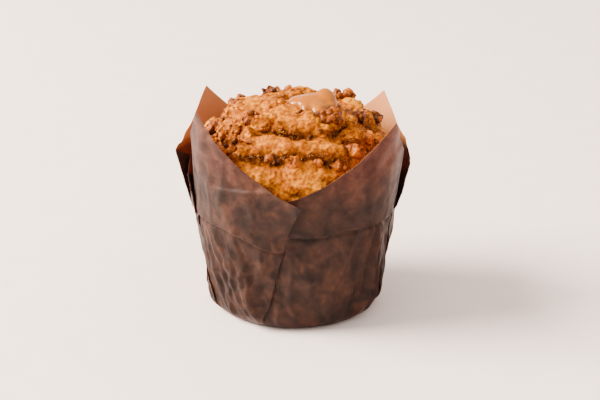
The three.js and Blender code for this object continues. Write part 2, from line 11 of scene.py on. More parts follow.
import bpy
import numpy as np
import openvdb
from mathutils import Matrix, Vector


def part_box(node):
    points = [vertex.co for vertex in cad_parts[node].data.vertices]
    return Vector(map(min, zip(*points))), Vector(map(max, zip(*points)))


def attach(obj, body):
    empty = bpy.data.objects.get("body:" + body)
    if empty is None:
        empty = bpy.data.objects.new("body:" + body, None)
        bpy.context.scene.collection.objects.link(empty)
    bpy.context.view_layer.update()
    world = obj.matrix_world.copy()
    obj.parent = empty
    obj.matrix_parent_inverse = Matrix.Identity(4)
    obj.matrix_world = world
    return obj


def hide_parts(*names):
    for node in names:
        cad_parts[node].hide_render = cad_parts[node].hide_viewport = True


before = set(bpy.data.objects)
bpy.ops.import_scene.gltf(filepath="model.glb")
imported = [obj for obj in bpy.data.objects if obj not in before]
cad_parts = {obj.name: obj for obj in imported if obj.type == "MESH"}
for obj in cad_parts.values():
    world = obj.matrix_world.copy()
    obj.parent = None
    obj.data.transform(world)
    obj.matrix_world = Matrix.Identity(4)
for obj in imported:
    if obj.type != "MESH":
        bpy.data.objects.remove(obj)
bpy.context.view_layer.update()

MM = 0.001
TAU = 2 * math.pi

# ---- Driving dimensions, in mm ----

SHEET_REACH = {"front": 79.5, "back": 73.5, "left": 78.0, "right": 75.0}  # sheet's middle to its sides
BASE_FLAT_RADIUS = 27.0
HEEL_RADIUS = 5.0
TIN_DEPTH = 39.0  # height of the crease that the tin's rim leaves
WALL_LEAN = math.radians(8)

PAPER = 0.12
LAYER_PITCH = 0.42  # paper and the air to the next layer of a pleat

CROWN_BASE = 50.0  # where the dome begins
CROWN_RADIUS = 36.2
CROWN_RISE = 28.0
CROWN_FULLNESS = 2.15

# ---- Noise ----


def lattice(x, y, z, seed):
    """A repeatable random number from -1 to 1 for each whole-number point."""
    h = x.astype(np.uint32) * np.uint32(374761393) + y.astype(np.uint32) * np.uint32(668265263)
    h += z.astype(np.uint32) * np.uint32(2246822519) + np.uint32(seed * 3266489917 % 2**32)
    h ^= h >> np.uint32(15)
    h *= np.uint32(2654435761)
    h ^= h >> np.uint32(13)
    h *= np.uint32(3266489917)
    h ^= h >> np.uint32(16)
    return h.astype(np.float32) * np.float32(2 / 2**32) - 1


def noise(points, size, seed):
    """Smooth noise from -1 to 1 with lumps of about the given size."""
    p = np.asarray(points, np.float32) / size + 1000
    cell = np.floor(p)
    t = p - cell
    t = t * t * t * (t * (6 * t - 15) + 10)
    cell = cell.astype(np.int32)
    total = np.zeros(len(p), np.float32)
    for corner in range(8):
        step = [(corner >> k) & 1 for k in range(3)]
        weight = np.ones(len(p), np.float32)
        for k in range(3):
            weight *= t[:, k] if step[k] else 1 - t[:, k]
        total += weight * lattice(*(cell[:, k] + step[k] for k in range(3)), seed)
    return total


def billow(points, size, seed):
    """Round lumps with sharp valleys between them, from 0 in a valley to 1."""
    return np.minimum(1, np.abs(noise(points, size, seed)) * 1.8)


def noise_vector(points, size, seed):
    """Three noises for each point, to warp it with."""
    return np.stack([noise(points, size, seed + k) for k in range(3)], -1)


def smoothstep(t):
    t = np.clip(t, 0, 1)
    return t * t * (3 - 2 * t)


def lerp(a, b, t):
    return a + (b - a) * t


def around_cup(angle, radius, z):
    """Points from arrays of angles in degrees, distances from the axis and heights."""
    return np.stack([radius * np.sin(np.radians(angle)), -radius * np.cos(np.radians(angle)), z], -1)


# ---- Meshes ----


def link_object(name, data):
    """A new object in the scene, from a mesh, a light or a camera."""
    obj = bpy.data.objects.new(name, data)
    bpy.context.scene.collection.objects.link(obj)
    return obj


def mesh_object(name, points_mm, faces, material, attributes=None):
    """An object from points in mm and an array of triangles or quads, smooth shaded."""
    mesh = bpy.data.meshes.new(name)
    faces = np.asarray(faces, np.int32)
    mesh.vertices.add(len(points_mm))
    mesh.vertices.foreach_set("co", (np.asarray(points_mm) * MM).astype(np.float32).ravel())
    mesh.loops.add(faces.size)
    mesh.loops.foreach_set("vertex_index", faces.ravel())
    mesh.polygons.add(len(faces))
    mesh.polygons.foreach_set("loop_start", np.arange(len(faces), dtype=np.int32) * faces.shape[1])
    mesh.polygons.foreach_set("use_smooth", np.ones(len(faces), bool))
    mesh.update(calc_edges=True)
    mesh.validate()
    for key, values in (attributes or {}).items():
        layer = mesh.attributes.new(key, "FLOAT", "POINT")
        layer.data.foreach_set("value", np.asarray(values, np.float32))
    mesh.materials.append(material)
    return link_object(name, mesh)


def vertex_normals(points, faces):
    corners = points[faces]
    face_normals = np.cross(corners[:, 2] - corners[:, 0], corners[:, -1] - corners[:, 1])
    normals = np.zeros_like(points)
    for k in range(faces.shape[1]):
        np.add.at(normals, faces[:, k], face_normals)
    return normals / np.maximum(np.linalg.norm(normals, axis=1, keepdims=True), 1e-12)


def cavity_shade(points, faces, rounds):
    """How deep each vertex lies below its smoothed surroundings, in mm, negative on a bump. The materials
    paint shade into hollows with it.
    """
    ends = np.concatenate([faces[:, [k, (k + 1) % faces.shape[1]]] for k in range(faces.shape[1])])
    start, end = ends.T
    count = np.maximum(np.bincount(start, minlength=len(points)), 1)
    smooth = points.copy()
    for _ in range(rounds):
        near = [np.bincount(start, smooth[end, axis], len(points)) / count for axis in range(3)]
        smooth = 0.4 * smooth + 0.6 * np.stack(near, -1)
    return np.sum((smooth - points) * vertex_normals(points, faces), 1)


def surface_of(field, low, voxel):
    """The zero surface of a field that is negative inside, as points in mm and quads."""
    band = 3 * voxel
    grid = openvdb.FloatGrid(band)
    grid.copyFromArray(np.clip(field, -band, band).astype(np.float32))
    points, _, quads = grid.convertToPolygons(isovalue=0.0, adaptivity=0.0)
    points = np.asarray(points, np.float64) * voxel + low
    return points, np.asarray(quads, np.int64)[:, ::-1]


def grid_points(low, high, voxel):
    axes = [np.arange(a, b, voxel, dtype=np.float32) for a, b in zip(low, high)]
    return np.stack(np.meshgrid(*axes, indexing="ij"), -1)


# ---- The wrapper: one square sheet, pleated into a cup ----

# Panels between the pleats: where the panel's middle line stands on the cup, where it lies on
# the sheet, and how far the paper leans out above the crease
CORNERS = {
    (across, ahead): math.degrees(math.atan2(sx * SHEET_REACH[across], sy * SHEET_REACH[ahead])) % 360
    for across, sx in (("right", 1), ("left", -1))
    for ahead, sy in (("front", 1), ("back", -1))
}
PANELS = [
    {"tip": 51.5, "sheet": CORNERS["right", "front"], "lean": 11},
    {"tip": 74, "sheet": 66, "lean": 5},
    {"tip": 129, "sheet": CORNERS["right", "back"], "lean": 11},
    {"tip": 232, "sheet": CORNERS["left", "back"], "lean": 9},
    {"tip": 275, "sheet": 287, "lean": 2},
    {"tip": 305, "sheet": CORNERS["left", "front"], "lean": 5.5},
]
# The pleat after each panel: where its fold shows at the base, at the crease and RISE above
# it, which of its panels is the outer one, and how far the fold has sprung out at the top
RISE = 14.0
PLEATS = [
    dict(base=56, crease=66, top=71, over="before", spring=0.8),
    dict(base=76, crease=80, top=90, over="after", spring=3.2),
    dict(base=172, crease=178, top=183, over="after", spring=1.2),
    dict(base=277, crease=270, top=267, over="before", spring=3.2),
    dict(base=300, crease=288, top=281, over="before", spring=1.4),
    dict(base=339, crease=356, top=363, over="before", spring=4.8),
]
COUNT = len(PANELS)

RAMP = 14.0  # degrees over which a panel climbs onto a pleat
RAMP_LEAD = 3.0  # degrees before the pleat where that climb ends
SPRING_WIDTH = 26.0  # degrees behind a sprung fold that stand off with it
SPRING_POWER = 1.5
SPRING_LIMIT = 1.3  # most of its spring that a fold reaches, near the sheet's edge
CLEAR_ABOVE = 6.0  # mm past the edge of the layers under it that a panel stays raised
HALVINGS = 10  # of the interval in which that edge is sought
PLEAT_START, PLEAT_STANDS, PLEAT_FOLDS = 3.0, 7.0, 13.0  # distances past the flat
FLAT_SPREAD, RIDGE_SPREAD = 1.6, 0.2  # half width of a pleat's columns while flat, and as a ridge
TURN_SHARE = 0.2  # of a pleat's columns, in each of its two turns
TURN_STEPS = 4
HIDDEN_SPACING = 1.6  # spacing of the hidden layer's columns, against the others'

HEEL_TURN = math.pi / 2 - WALL_LEAN
HEEL_TOP_RADIUS = BASE_FLAT_RADIUS + HEEL_RADIUS * math.sin(HEEL_TURN)
HEEL_TOP_Z = HEEL_RADIUS * (1 - math.cos(HEEL_TURN))
HEEL_TOP_REACH = BASE_FLAT_RADIUS + HEEL_RADIUS * HEEL_TURN
WALL_LENGTH = (TIN_DEPTH - HEEL_TOP_Z) / math.cos(WALL_LEAN)
CREASE_REACH = HEEL_TOP_REACH + WALL_LENGTH
MEAN_LEAN = math.radians(sum(p["lean"] for p in PANELS) / COUNT)


def cup_profile(reach, lean):
    """Radius and height of the cup at a distance from the sheet's centre."""
    heel = np.clip((reach - BASE_FLAT_RADIUS) / HEEL_RADIUS, 0, HEEL_TURN)
    wall = np.clip(reach - HEEL_TOP_REACH, 0, WALL_LENGTH)
    upper = np.maximum(reach - CREASE_REACH, 0)
    radius = np.minimum(reach, BASE_FLAT_RADIUS) + HEEL_RADIUS * np.sin(heel)
    radius = radius + wall * math.sin(WALL_LEAN) + upper * np.sin(lean)
    z = PAPER / 2 + HEEL_RADIUS * (1 - np.cos(heel)) + wall * math.cos(WALL_LEAN) + upper * np.cos(lean)
    return radius, z


def ring_radius(reach):
    return cup_profile(reach, MEAN_LEAN)[0]


def fullness(reach):
    """How much more paper there is at this reach than the cup's ring takes."""
    return reach / ring_radius(reach)


CREASE_FULLNESS = fullness(CREASE_REACH)


def lean_at(angle):
    """Lean above the crease, eased from panel to panel."""
    turned = (angle - PANELS[0]["tip"]) % 360 + PANELS[0]["tip"]
    lean = np.zeros_like(turned)
    for i, panel in enumerate(PANELS):
        after = PANELS[(i + 1) % COUNT]
        start, end = panel["tip"], after["tip"] + (360 if i + 1 == COUNT else 0)
        inside = (turned >= start) & (turned <= end)
        eased = lerp(panel["lean"], after["lean"], smoothstep((turned - start) / (end - start)))
        lean = np.where(inside, eased, lean)
    return np.radians(lean)


def sheet_edge_reach(sheet_angle):
    across, ahead = np.sin(np.radians(sheet_angle)), np.cos(np.radians(sheet_angle))
    side = np.where(across > 0, SHEET_REACH["right"], SHEET_REACH["left"])
    end = np.where(ahead > 0, SHEET_REACH["front"], SHEET_REACH["back"])
    tiny = 1e-9
    return np.minimum(side / np.maximum(np.abs(across), tiny), end / np.maximum(np.abs(ahead), tiny))


def centre_of(i, reach):
    """Where a panel's middle line stands at each reach; panels past the last go round again."""
    panel = PANELS[i % COUNT]
    spread = np.clip((fullness(reach) - 1) / (CREASE_FULLNESS - 1), 0, 1)
    return lerp(panel["sheet"], panel["tip"], spread) + 360 * (i // COUNT)


def sheet_middle(i):
    return PANELS[i % COUNT]["sheet"] + 360 * (i // COUNT)


def pleat_state(i, reach):
    """Where pleat i turns back (first) and forward again (second), its fold and its spring."""
    pleat, turn = PLEATS[i % COUNT], 360 * (i // COUNT)
    full = fullness(reach)
    sheet_span = sheet_middle(i + 1) - sheet_middle(i)
    cup_span = centre_of(i + 1, reach) - centre_of(i, reach)
    hidden = np.maximum(0, (sheet_span * full - cup_span) / 2)
    climb = np.clip((reach - BASE_FLAT_RADIUS) / (CREASE_REACH - BASE_FLAT_RADIUS), 0, 1)
    rise = np.maximum(reach - CREASE_REACH, 0) / RISE
    fold = lerp(pleat["base"], pleat["crease"], climb) + (pleat["top"] - pleat["crease"]) * rise + turn
    before = pleat["over"] == "before"
    outer = i if before else i + 1
    fold_sheet = sheet_middle(outer) + (fold - centre_of(outer, reach)) / full
    return {
        "before": before,
        "fold": fold,
        "first": fold if before else fold + hidden,
        "second": fold - hidden if before else fold,
        "covered": covered_behind(reach, full, fold_sheet, hidden, 1 if before else -1),
        "lift": pleat["spring"] * np.clip(rise, 0, SPRING_LIMIT),
    }


def covered_behind(reach, full, fold_sheet, hidden, direction):
    """Degrees behind the fold over which there is paper under the outer panel."""
    inside, outside = np.zeros_like(hidden), hidden.copy()
    for _ in range(HALVINGS):
        middle = (inside + outside) / 2
        on_sheet = sheet_edge_reach(fold_sheet + direction * middle / full) >= reach - CLEAR_ABOVE
        inside, outside = np.where(on_sheet, middle, inside), np.where(on_sheet, outside, middle)
    return inside


def spring_at(pleat, angle):
    behind = np.clip(np.abs(pleat["fold"] - angle) / SPRING_WIDTH, 0, 1)
    return pleat["lift"] * (1 - behind) ** SPRING_POWER


def raise_at(pleat, angle):
    """How far a pleat raises the panel that runs over it."""
    behind = (pleat["fold"] - angle) if pleat["before"] else (angle - pleat["fold"])
    climb = smoothstep((pleat["covered"] + RAMP_LEAD + RAMP - behind) / RAMP)
    return 2 * LAYER_PITCH * climb + np.where(behind > 0, spring_at(pleat, angle), pleat["lift"])


def panel_offset(i, angle, reach):
    """How far panel i stands off the cup over every pleat under it."""
    offset = np.zeros_like(angle)
    k = i
    while PLEATS[k % COUNT]["over"] == "before" and k < i + COUNT:
        offset = offset + raise_at(pleat_state(k, reach), angle)
        k += 1
    k = i - 1
    while PLEATS[k % COUNT]["over"] == "after" and k > i - COUNT:
        offset = offset + raise_at(pleat_state(k, reach), angle)
        k -= 1
    return offset


def pleat_growth(reach):
    """How far the pleats have stood up as ridges, and how far they have folded over."""
    beyond = reach - BASE_FLAT_RADIUS
    raised = smoothstep((beyond - PLEAT_START) / (PLEAT_STANDS - PLEAT_START))
    folded = smoothstep((beyond - PLEAT_STANDS) / (PLEAT_FOLDS - PLEAT_STANDS))
    return raised, folded


def turns_of(pleat, reach):
    raised, folded = pleat_growth(reach)
    middle = (pleat["first"] + pleat["second"]) / 2
    spread = np.degrees(lerp(FLAT_SPREAD, RIDGE_SPREAD, raised) / ring_radius(reach))
    return lerp(middle - spread, pleat["first"], folded), lerp(middle + spread, pleat["second"], folded)


def panel_columns(i, share, reach):
    """Angle, stand-off and sheet angle of a panel's columns; share runs from -1 to 1."""
    raised, _ = pleat_growth(reach)
    start = turns_of(pleat_state(i - 1, reach), reach)[1]
    end = turns_of(pleat_state(i, reach), reach)[0]
    centre = centre_of(i, reach)
    angle = centre + np.where(share < 0, (centre - start) * share, (end - centre) * share)
    sheet_angle = sheet_middle(i) + (angle - centre) / fullness(reach)
    return angle, raised * panel_offset(i, angle, reach), sheet_angle


def pleat_columns(i, share, reach):
    """The same for a pleat: the turn back, the hidden layer and the turn forward."""
    raised, folded = pleat_growth(reach)
    pleat = pleat_state(i, reach)
    back_turn, forward_turn = turns_of(pleat, reach)
    first_turn = np.clip(share / TURN_SHARE, 0, 1)
    second_turn = np.clip((share - 1 + TURN_SHARE) / TURN_SHARE, 0, 1)
    back = np.clip((share - TURN_SHARE) / (1 - 2 * TURN_SHARE), 0, 1)
    run = lerp(pleat["first"], pleat["second"], back)
    bulge = np.sin(np.pi * first_turn) - np.sin(np.pi * second_turn)
    bulge = bulge * np.degrees(LAYER_PITCH / 2 / ring_radius(reach))
    folded_level = (2 - np.cos(np.pi * first_turn) - np.cos(np.pi * second_turn)) / 2
    level = lerp(2 * share, folded_level, folded)
    height = 2 - level if pleat["before"] else level
    inner = i + 1 if pleat["before"] else i
    under = panel_offset(inner, run, reach)
    offset = raised * (under + height * LAYER_PITCH + np.minimum(height, 1) * spring_at(pleat, run))
    angle = lerp(
        lerp(back_turn, forward_turn, share), lerp(back_turn, forward_turn, back) + bulge, folded
    )
    sheet_angle = sheet_middle(i) + (2 * pleat["first"] - centre_of(i, reach) - run) / fullness(reach)
    return angle, offset, sheet_angle


def sheet_columns(spacing):
    """Every column along the paper as (function, panel or pleat, share), about spacing mm apart."""
    crease = np.array([CREASE_REACH])
    columns = []
    for i in range(COUNT):
        start = turns_of(pleat_state(i - 1, crease), crease)[1][0]
        end = turns_of(pleat_state(i, crease), crease)[0][0]
        centre = centre_of(i, crease)[0]
        millimetres = math.radians(1) * ring_radius(CREASE_REACH)
        for low, high, span in ((-1, 0, centre - start), (0, 1, end - centre)):
            steps = max(3, round(span * millimetres / spacing))
            columns += [(panel_columns, i, low + (high - low) * k / steps) for k in range(steps)]
        state = pleat_state(i, crease)
        hidden = (state["first"] - state["second"])[0] * millimetres
        inner_steps = max(4, round(hidden / (HIDDEN_SPACING * spacing)))
        shares = [TURN_SHARE * k / TURN_STEPS for k in range(TURN_STEPS)]
        shares += [TURN_SHARE + (1 - 2 * TURN_SHARE) * k / inner_steps for k in range(inner_steps)]
        shares += [1 - TURN_SHARE + TURN_SHARE * k / TURN_STEPS for k in range(TURN_STEPS)]
        columns.append((panel_columns, i, 1.0))
        columns += [(pleat_columns, i, share) for share in shares[1:]]
    return columns


def evaluate_columns(columns, reach):
    """Angle, stand-off and sheet angle of every column at reaches of shape (rows, columns)."""
    result = np.zeros((3,) + reach.shape)
    groups = {}
    for c, (function, i, share) in enumerate(columns):
        groups.setdefault((function, i), []).append((c, share))
    for (function, i), members in groups.items():
        index = [c for c, _ in members]
        shares = np.array([s for _, s in members])[None, :] + np.zeros((len(reach), 1))
        result[:, :, index] = function(i, shares, reach[:, index])
    return result


EDGE_GUESS, EDGE_STEPS, EDGE_DAMPING = 85.0, 30, 0.6


def edge_reaches(columns):
    """Where each column meets the edge of the sheet, by damped steps from a guess."""
    reach = np.full((1, len(columns)), EDGE_GUESS)
    for _ in range(EDGE_STEPS):
        edge = sheet_edge_reach(evaluate_columns(columns, reach)[2])
        reach = lerp(reach, edge, EDGE_DAMPING)
    return reach[0]


# ---- Crumpling ----

CELL_JITTER = 0.45  # how far a facet's middle strays, as a share of its cell
RIDGE_DISTANCE, RIDGE_LIMIT = 0.6, 1.2
CREASE_ROUND = 0.45  # mm over which the top of a crease is rounded


def cell_ridges(s, z, wide, tall, seed, round_length):
    """Facets that meet in sharp ridges, from 0 in the middle of a facet to about 1 on a ridge.
    s runs round the cup and closes on itself after round_length."""
    across = max(1, round(round_length / wide))
    u, v = s / round_length * across, z / tall + 50
    cell_u, cell_v = np.floor(u), np.floor(v)
    nearest = np.full(s.shape, 9.0)
    for du in (-1, 0, 1):
        for dv in (-1, 0, 1):
            cu, cv = cell_u + du, cell_v + dv
            home = (cu % across).astype(np.int32), cv.astype(np.int32), np.zeros_like(cu, np.int32)
            px = cu + 0.5 + CELL_JITTER * lattice(*home, seed)
            py = cv + 0.5 + CELL_JITTER * lattice(*home, seed + 7)
            nearest = np.minimum(nearest, (u - px) ** 2 + (v - py) ** 2)
    return np.clip(nearest / RIDGE_DISTANCE, 0, RIDGE_LIMIT)


def crease_line(s, z, centre, direction, length, width, round_length):
    """A tent-shaped crease, 1 along its line, through centre (s, z) at a slant in degrees."""
    ds = (s - centre[0] + round_length / 2) % round_length - round_length / 2
    dz = z - centre[1]
    tilt = math.radians(direction)
    along = ds * math.sin(tilt) + dz * math.cos(tilt)
    across = ds * math.cos(tilt) - dz * math.sin(tilt)
    ends = np.exp(-((along / (length / 2)) ** 4))
    return ends * np.exp((CREASE_ROUND - np.hypot(across, CREASE_ROUND)) / width)


# Folds pressed into the paper: angle, height, slant in degrees (towards +angle going up),
# length, half width and how far each stands out
FOLDS = [
    (334, 15, -14, 26, 1.7, 1.1),
    (327, 19, -24, 36, 1.8, 1.4),
    (319, 20, -27, 38, 2.0, 1.3),
    (311, 21, -22, 36, 1.8, 1.4),
    (303, 20, -15, 34, 2.0, 1.2),
    (296, 19, -8, 32, 1.7, 1.0),
    (331, 27, -20, 20, 1.3, -0.8),
    (323, 24, -26, 26, 1.4, -0.9),
    (314, 14, -24, 22, 1.4, -0.9),
    (330, 7, -40, 14, 1.4, 0.8),
    (14, 43, 2, 34, 2.5, 0.9),
    (8, 22, -6, 24, 2.0, 0.7),
    (24, 15, 9, 20, 2.0, 0.7),
    (34, 22, -5, 26, 2.1, 1.1),
    (44, 27, 4, 24, 1.4, 1.7),
    (50, 22, 2, 32, 1.4, 1.8),
    (57, 19, -4, 32, 1.6, 1.7),
    (47, 27, 3, 22, 1.0, -1.3),
    (54, 22, 0, 26, 1.0, -1.3),
    (352, 8, 28, 12, 1.4, 0.9),
    (2, 7, -22, 12, 1.6, 0.8),
    (322, 56, 24, 22, 2.3, 0.5),
    (334, 53, -18, 20, 2.1, 0.5),
    (309, 54, 8, 26, 2.3, 0.55),
    (32, 52, -8, 22, 2.5, 0.5),
    (44, 55, 7, 24, 2.3, 0.6),
]
FOLD_STRENGTH = 1.25

# Creases at random, below the tin's rim and above it: how many, between which heights, how much
# their slant varies, and their lengths, half widths and how far they stand in or out
RANDOM_CREASES = [
    dict(count=46, heights=(6, 36), slant=16, lengths=(9, 26), widths=(0.7, 1.7), rise=(-0.5, 0.8)),
    dict(count=26, heights=(44, 70), slant=22, lengths=(8, 20), widths=(0.8, 2.2), rise=(-0.35, 0.45)),
]
CREASE_SEED = 5

RIM_STEP, RIM_FADE = 0.8, 9  # mm that the paper steps out above the rim's mark, and fades over
RIM_GROOVE, GROOVE_WIDTH = 0.5, 0.6
FLAP_DROP = 5.5  # mm that the mark lies lower on the front flap


def rim_marks(angle, z, wander):
    """The fine step that the rim of the tin leaves all round, and the groove under it."""
    flap = smoothstep((angle % 360 - 318) / 34) * (angle % 360 < 340 + 17 * z / TIN_DEPTH)
    dip = z - (TIN_DEPTH - FLAP_DROP * flap + 0.8 * wander)
    step = RIM_STEP * smoothstep((dip + 0.3) / 0.6) * np.exp(-np.maximum(dip, 0) / RIM_FADE)
    return step, RIM_GROOVE * np.exp(-((dip + 0.7) / GROOVE_WIDTH) ** 2)


def crumple(angle, z):
    """How far the crumpled paper stands out from the smooth cup, in mm."""
    radius = ring_radius(CREASE_REACH)
    round_length = TAU * radius
    s = np.radians(angle % 360) * radius
    flat = around_cup(angle, radius, z).reshape(-1, 3)

    def rough(size, seed):
        return noise(flat, size, seed).reshape(angle.shape)

    warp_s = s + 2.4 * rough(13, 3) + 0.8 * rough(4.5, 4)
    warp_z = z + 3.5 * rough(14, 5)
    big = cell_ridges(warp_s, warp_z, 11, 26, 11, round_length)
    middle = cell_ridges(warp_s + 5, warp_z, 5.2, 11, 12, round_length)
    small = cell_ridges(warp_s, warp_z + 3, 2.6, 4.6, 13, round_length)
    below = 1 - smoothstep((z - TIN_DEPTH + 1) / 3)
    patch = 0.55 + 0.45 * rough(17, 6)
    press = lerp(0.36, 1.0, below)
    out = press * (1.3 * big + 1.0 * patch * middle + 0.3 * small - 0.8)
    for turn, height, slant, length, width, rise in FOLDS:
        centre = (math.radians(turn) * radius, height)
        keep = below if height < TIN_DEPTH else 1
        line = crease_line(warp_s, z, centre, slant, length, width, round_length)
        out = out + FOLD_STRENGTH * rise * keep * line
    rng = np.random.default_rng(CREASE_SEED)
    for creases, where in zip(RANDOM_CREASES, (below, 1 - below)):
        for _ in range(creases["count"]):
            centre = (rng.uniform(0, round_length), rng.uniform(*creases["heights"]))
            slant = rng.normal(0, creases["slant"])
            length, width = rng.uniform(*creases["lengths"]), rng.uniform(*creases["widths"])
            rise = rng.choice(creases["rise"])
            out = out + rise * where * crease_line(warp_s, z, centre, slant, length, width, round_length)
    out = out + 0.5 * (rough(30, 8) + 1) * smoothstep((z - TIN_DEPTH) / 20)
    step, groove = rim_marks(angle, z, rough(22, 9))
    near_base = smoothstep((z - 0.5) / 6)
    return (out + step - groove) * near_base


BASE_ROWS, HEEL_ROWS, WALL_ROWS, UPPER_ROWS = 4, 12, 52, 56
COLUMN_SPACING = 0.66


def wrapper_rows():
    """Points of the paper's middle surface, rows from the base outwards, and sheet places."""
    columns = sheet_columns(COLUMN_SPACING)
    top = edge_reaches(columns)
    ridge = BASE_FLAT_RADIUS + PLEAT_FOLDS
    shares = [
        *(("base", k / BASE_ROWS) for k in range(1, BASE_ROWS)),
        *(("heel", k / HEEL_ROWS) for k in range(HEEL_ROWS)),
        *(("wall", k / WALL_ROWS) for k in range(WALL_ROWS)),
        *(("upper", k / UPPER_ROWS) for k in range(UPPER_ROWS + 1)),
    ]
    spans = {
        "base": (0, BASE_FLAT_RADIUS),
        "heel": (BASE_FLAT_RADIUS, ridge),
        "wall": (ridge, CREASE_REACH),
        "upper": (CREASE_REACH, top),
    }
    reach = np.array([np.broadcast_to(lerp(*spans[zone], share), top.shape) for zone, share in shares])
    angle, offset, sheet_angle = evaluate_columns(columns, reach)
    radius, z = cup_profile(reach, lean_at(angle))
    radius = radius + (offset + crumple(angle, z))
    return around_cup(angle, radius, z), around_cup(sheet_angle, reach, z)[..., :2]


LINING_Z, LINING_FADE = 57, 4  # above this the inside of the paper is bare and shows its lining


def wrapper_mesh(material):
    points, sheet = wrapper_rows()
    rows, count = points.shape[:2]
    row, column = np.meshgrid(np.arange(rows - 1), np.arange(count), indexing="ij")
    after = (column + 1) % count
    quads = np.stack(
        [row * count + column, row * count + after, (row + 1) * count + after, (row + 1) * count + column],
        -1,
    ).reshape(-1, 4)
    middle = points.reshape(-1, 3)
    normals = vertex_normals(middle, quads)
    normals[:count] = (0, 0, -1)
    faces = [quads, quads[:, ::-1] + len(middle)]
    last = (rows - 1) * count + np.arange(count)
    last_after = (rows - 1) * count + (np.arange(count) + 1) % count
    faces.append(np.stack([last, last_after, last_after + len(middle), last + len(middle)], -1))
    first, first_after = np.arange(count), (np.arange(count) + 1) % count
    ends = [[0, 0, 0], [0, 0, PAPER]]
    everything = np.concatenate([middle + normals * PAPER / 2, middle - normals * PAPER / 2, ends])
    under, over = len(middle) * 2, len(middle) * 2 + 1
    half = np.arange(0, count - 1, 2)
    fan = [[under, (k + 2) % count, k + 1, k] for k in half]
    fan += [[over, len(middle) + k, len(middle) + k + 1, len(middle) + (k + 2) % count] for k in half]
    faces.append(np.array(fan))
    places = np.concatenate([sheet.reshape(-1, 2), sheet.reshape(-1, 2), [[0, 0], [0, 0]]])
    free = smoothstep((middle[:, 2] - LINING_Z) / LINING_FADE)
    inside = np.concatenate([np.zeros(len(middle)), free, [0, 0]])
    attributes = {"sheet_x": places[:, 0] * MM, "sheet_y": places[:, 1] * MM, "inside": inside}
    return mesh_object("wrapper_paper", everything, np.concatenate(faces), material, attributes)


# ---- The muffin ----

DOUGH_SLACK = 1.7  # between the baked crumb and the paper's inside
SHOULDER_SLACK = 0.7  # the same where the crumb has risen past the tin's rim
SEAM_Z = 34.0  # below this the crumb is hidden and smooth
CROWN_VOXEL = 0.4
LUMP_ROOT = 1.6  # mm that a swell is rooted under the dome
LUMP_BLEND, HOLLOW_BLEND = 0.9, 0.5
PAPER_CLEARANCE = 0.45

# Swells of the dough: angle, distance from the axis, half sizes round and down the dome, rise
LUMPS = [
    (352, 36.0, 19.0, 8.0, 1.5),
    (348, 27.6, 10.5, 4.4, 2.0),
    (16, 28.0, 8.5, 4.4, 1.7),
    (357, 33.9, 16.0, 5.6, 1.5),
    (318, 30.6, 6.5, 4.4, 2.1),
    (330, 33.6, 5.0, 3.2, 1.6),
    (304, 32.4, 5.5, 4.4, 1.9),
    (297, 25.5, 7.5, 6.0, 2.2),
    (318, 13.5, 5.5, 6.0, 2.4),
    (320, 20.5, 5.0, 5.0, 2.6),
    (322, 25.6, 4.5, 3.2, 2.2),
    (345, 9.5, 12.0, 9.5, 2.2),
    (6, 17.6, 9.5, 5.0, 2.3),
    (285, 15.5, 9.5, 9.0, 2.3),
    (40, 19.0, 7.5, 6.5, 2.0),
    (54, 26.0, 6.5, 5.5, 2.2),
    (66, 31.2, 5.5, 4.8, 2.2),
    (82, 31.8, 5.5, 4.8, 2.0),
    (64, 19.5, 6.5, 6.0, 2.4),
    (41, 31.2, 6.0, 4.0, 1.7),
    (90, 24.0, 6.5, 6.0, 2.3),
    (26, 34.2, 6.5, 3.4, 1.5),
    (270, 31.0, 7.0, 5.0, 2.0),
    (108, 31.5, 7.0, 5.0, 2.0),
    (118, 23.0, 8.0, 6.0, 2.3),
    (135, 32.0, 8.0, 5.0, 1.8),
    (150, 23.0, 8.5, 6.0, 2.2),
    (160, 32.5, 8.0, 5.0, 1.8),
    (172, 14.0, 9.0, 8.0, 2.4),
    (186, 28.5, 8.5, 5.5, 2.2),
    (200, 34.0, 8.0, 4.5, 1.5),
    (212, 26.0, 8.0, 6.0, 2.3),
    (226, 33.0, 7.5, 4.8, 1.8),
    (238, 24.5, 8.0, 6.0, 2.3),
    (252, 32.5, 7.0, 5.0, 1.8),
    (225, 13.0, 9.0, 8.0, 2.3),
    (262, 22.0, 7.0, 6.0, 2.2),
]
# Where granules cluster on the crust: angle, distance from the axis, size of the cluster
GRANULAR = [
    *((300, 28, 9), (276, 22, 8), (322, 30, 6), (322, 22, 6), (62, 27, 10), (78, 22, 8), (40, 30, 6)),
    *((angle, 28, 8) for angle in (112, 146, 205, 240)),
]
# Hollows under overhanging crust: angle, distance from the axis, half sizes round, down, deep
HOLLOWS = [
    (33, 11.5, 6.5, 1.8, 1.5),
    (330, 6.0, 4.0, 1.6, 1.2),
    (351, 23.0, 8.5, 1.5, 2.8),
    (8, 24.2, 6.0, 1.2, 2.2),
    (334, 31.6, 5.0, 1.3, 2.0),
    (10, 31.4, 5.0, 1.0, 1.5),
    (44, 23.5, 4.0, 1.4, 2.0),
    (150, 28.0, 8.0, 1.4, 2.4),
    (230, 29.2, 7.0, 1.4, 2.4),
    (190, 21.5, 7.0, 1.3, 2.0),
]


def on_cup(angle, radius, z):
    return np.array([radius * math.sin(math.radians(angle)), -radius * math.cos(math.radians(angle)), z])


def crown_z(radius):
    share = min(radius / CROWN_RADIUS, 1)
    return CROWN_BASE + CROWN_RISE * (1 - share**CROWN_FULLNESS) ** (1 / CROWN_FULLNESS)


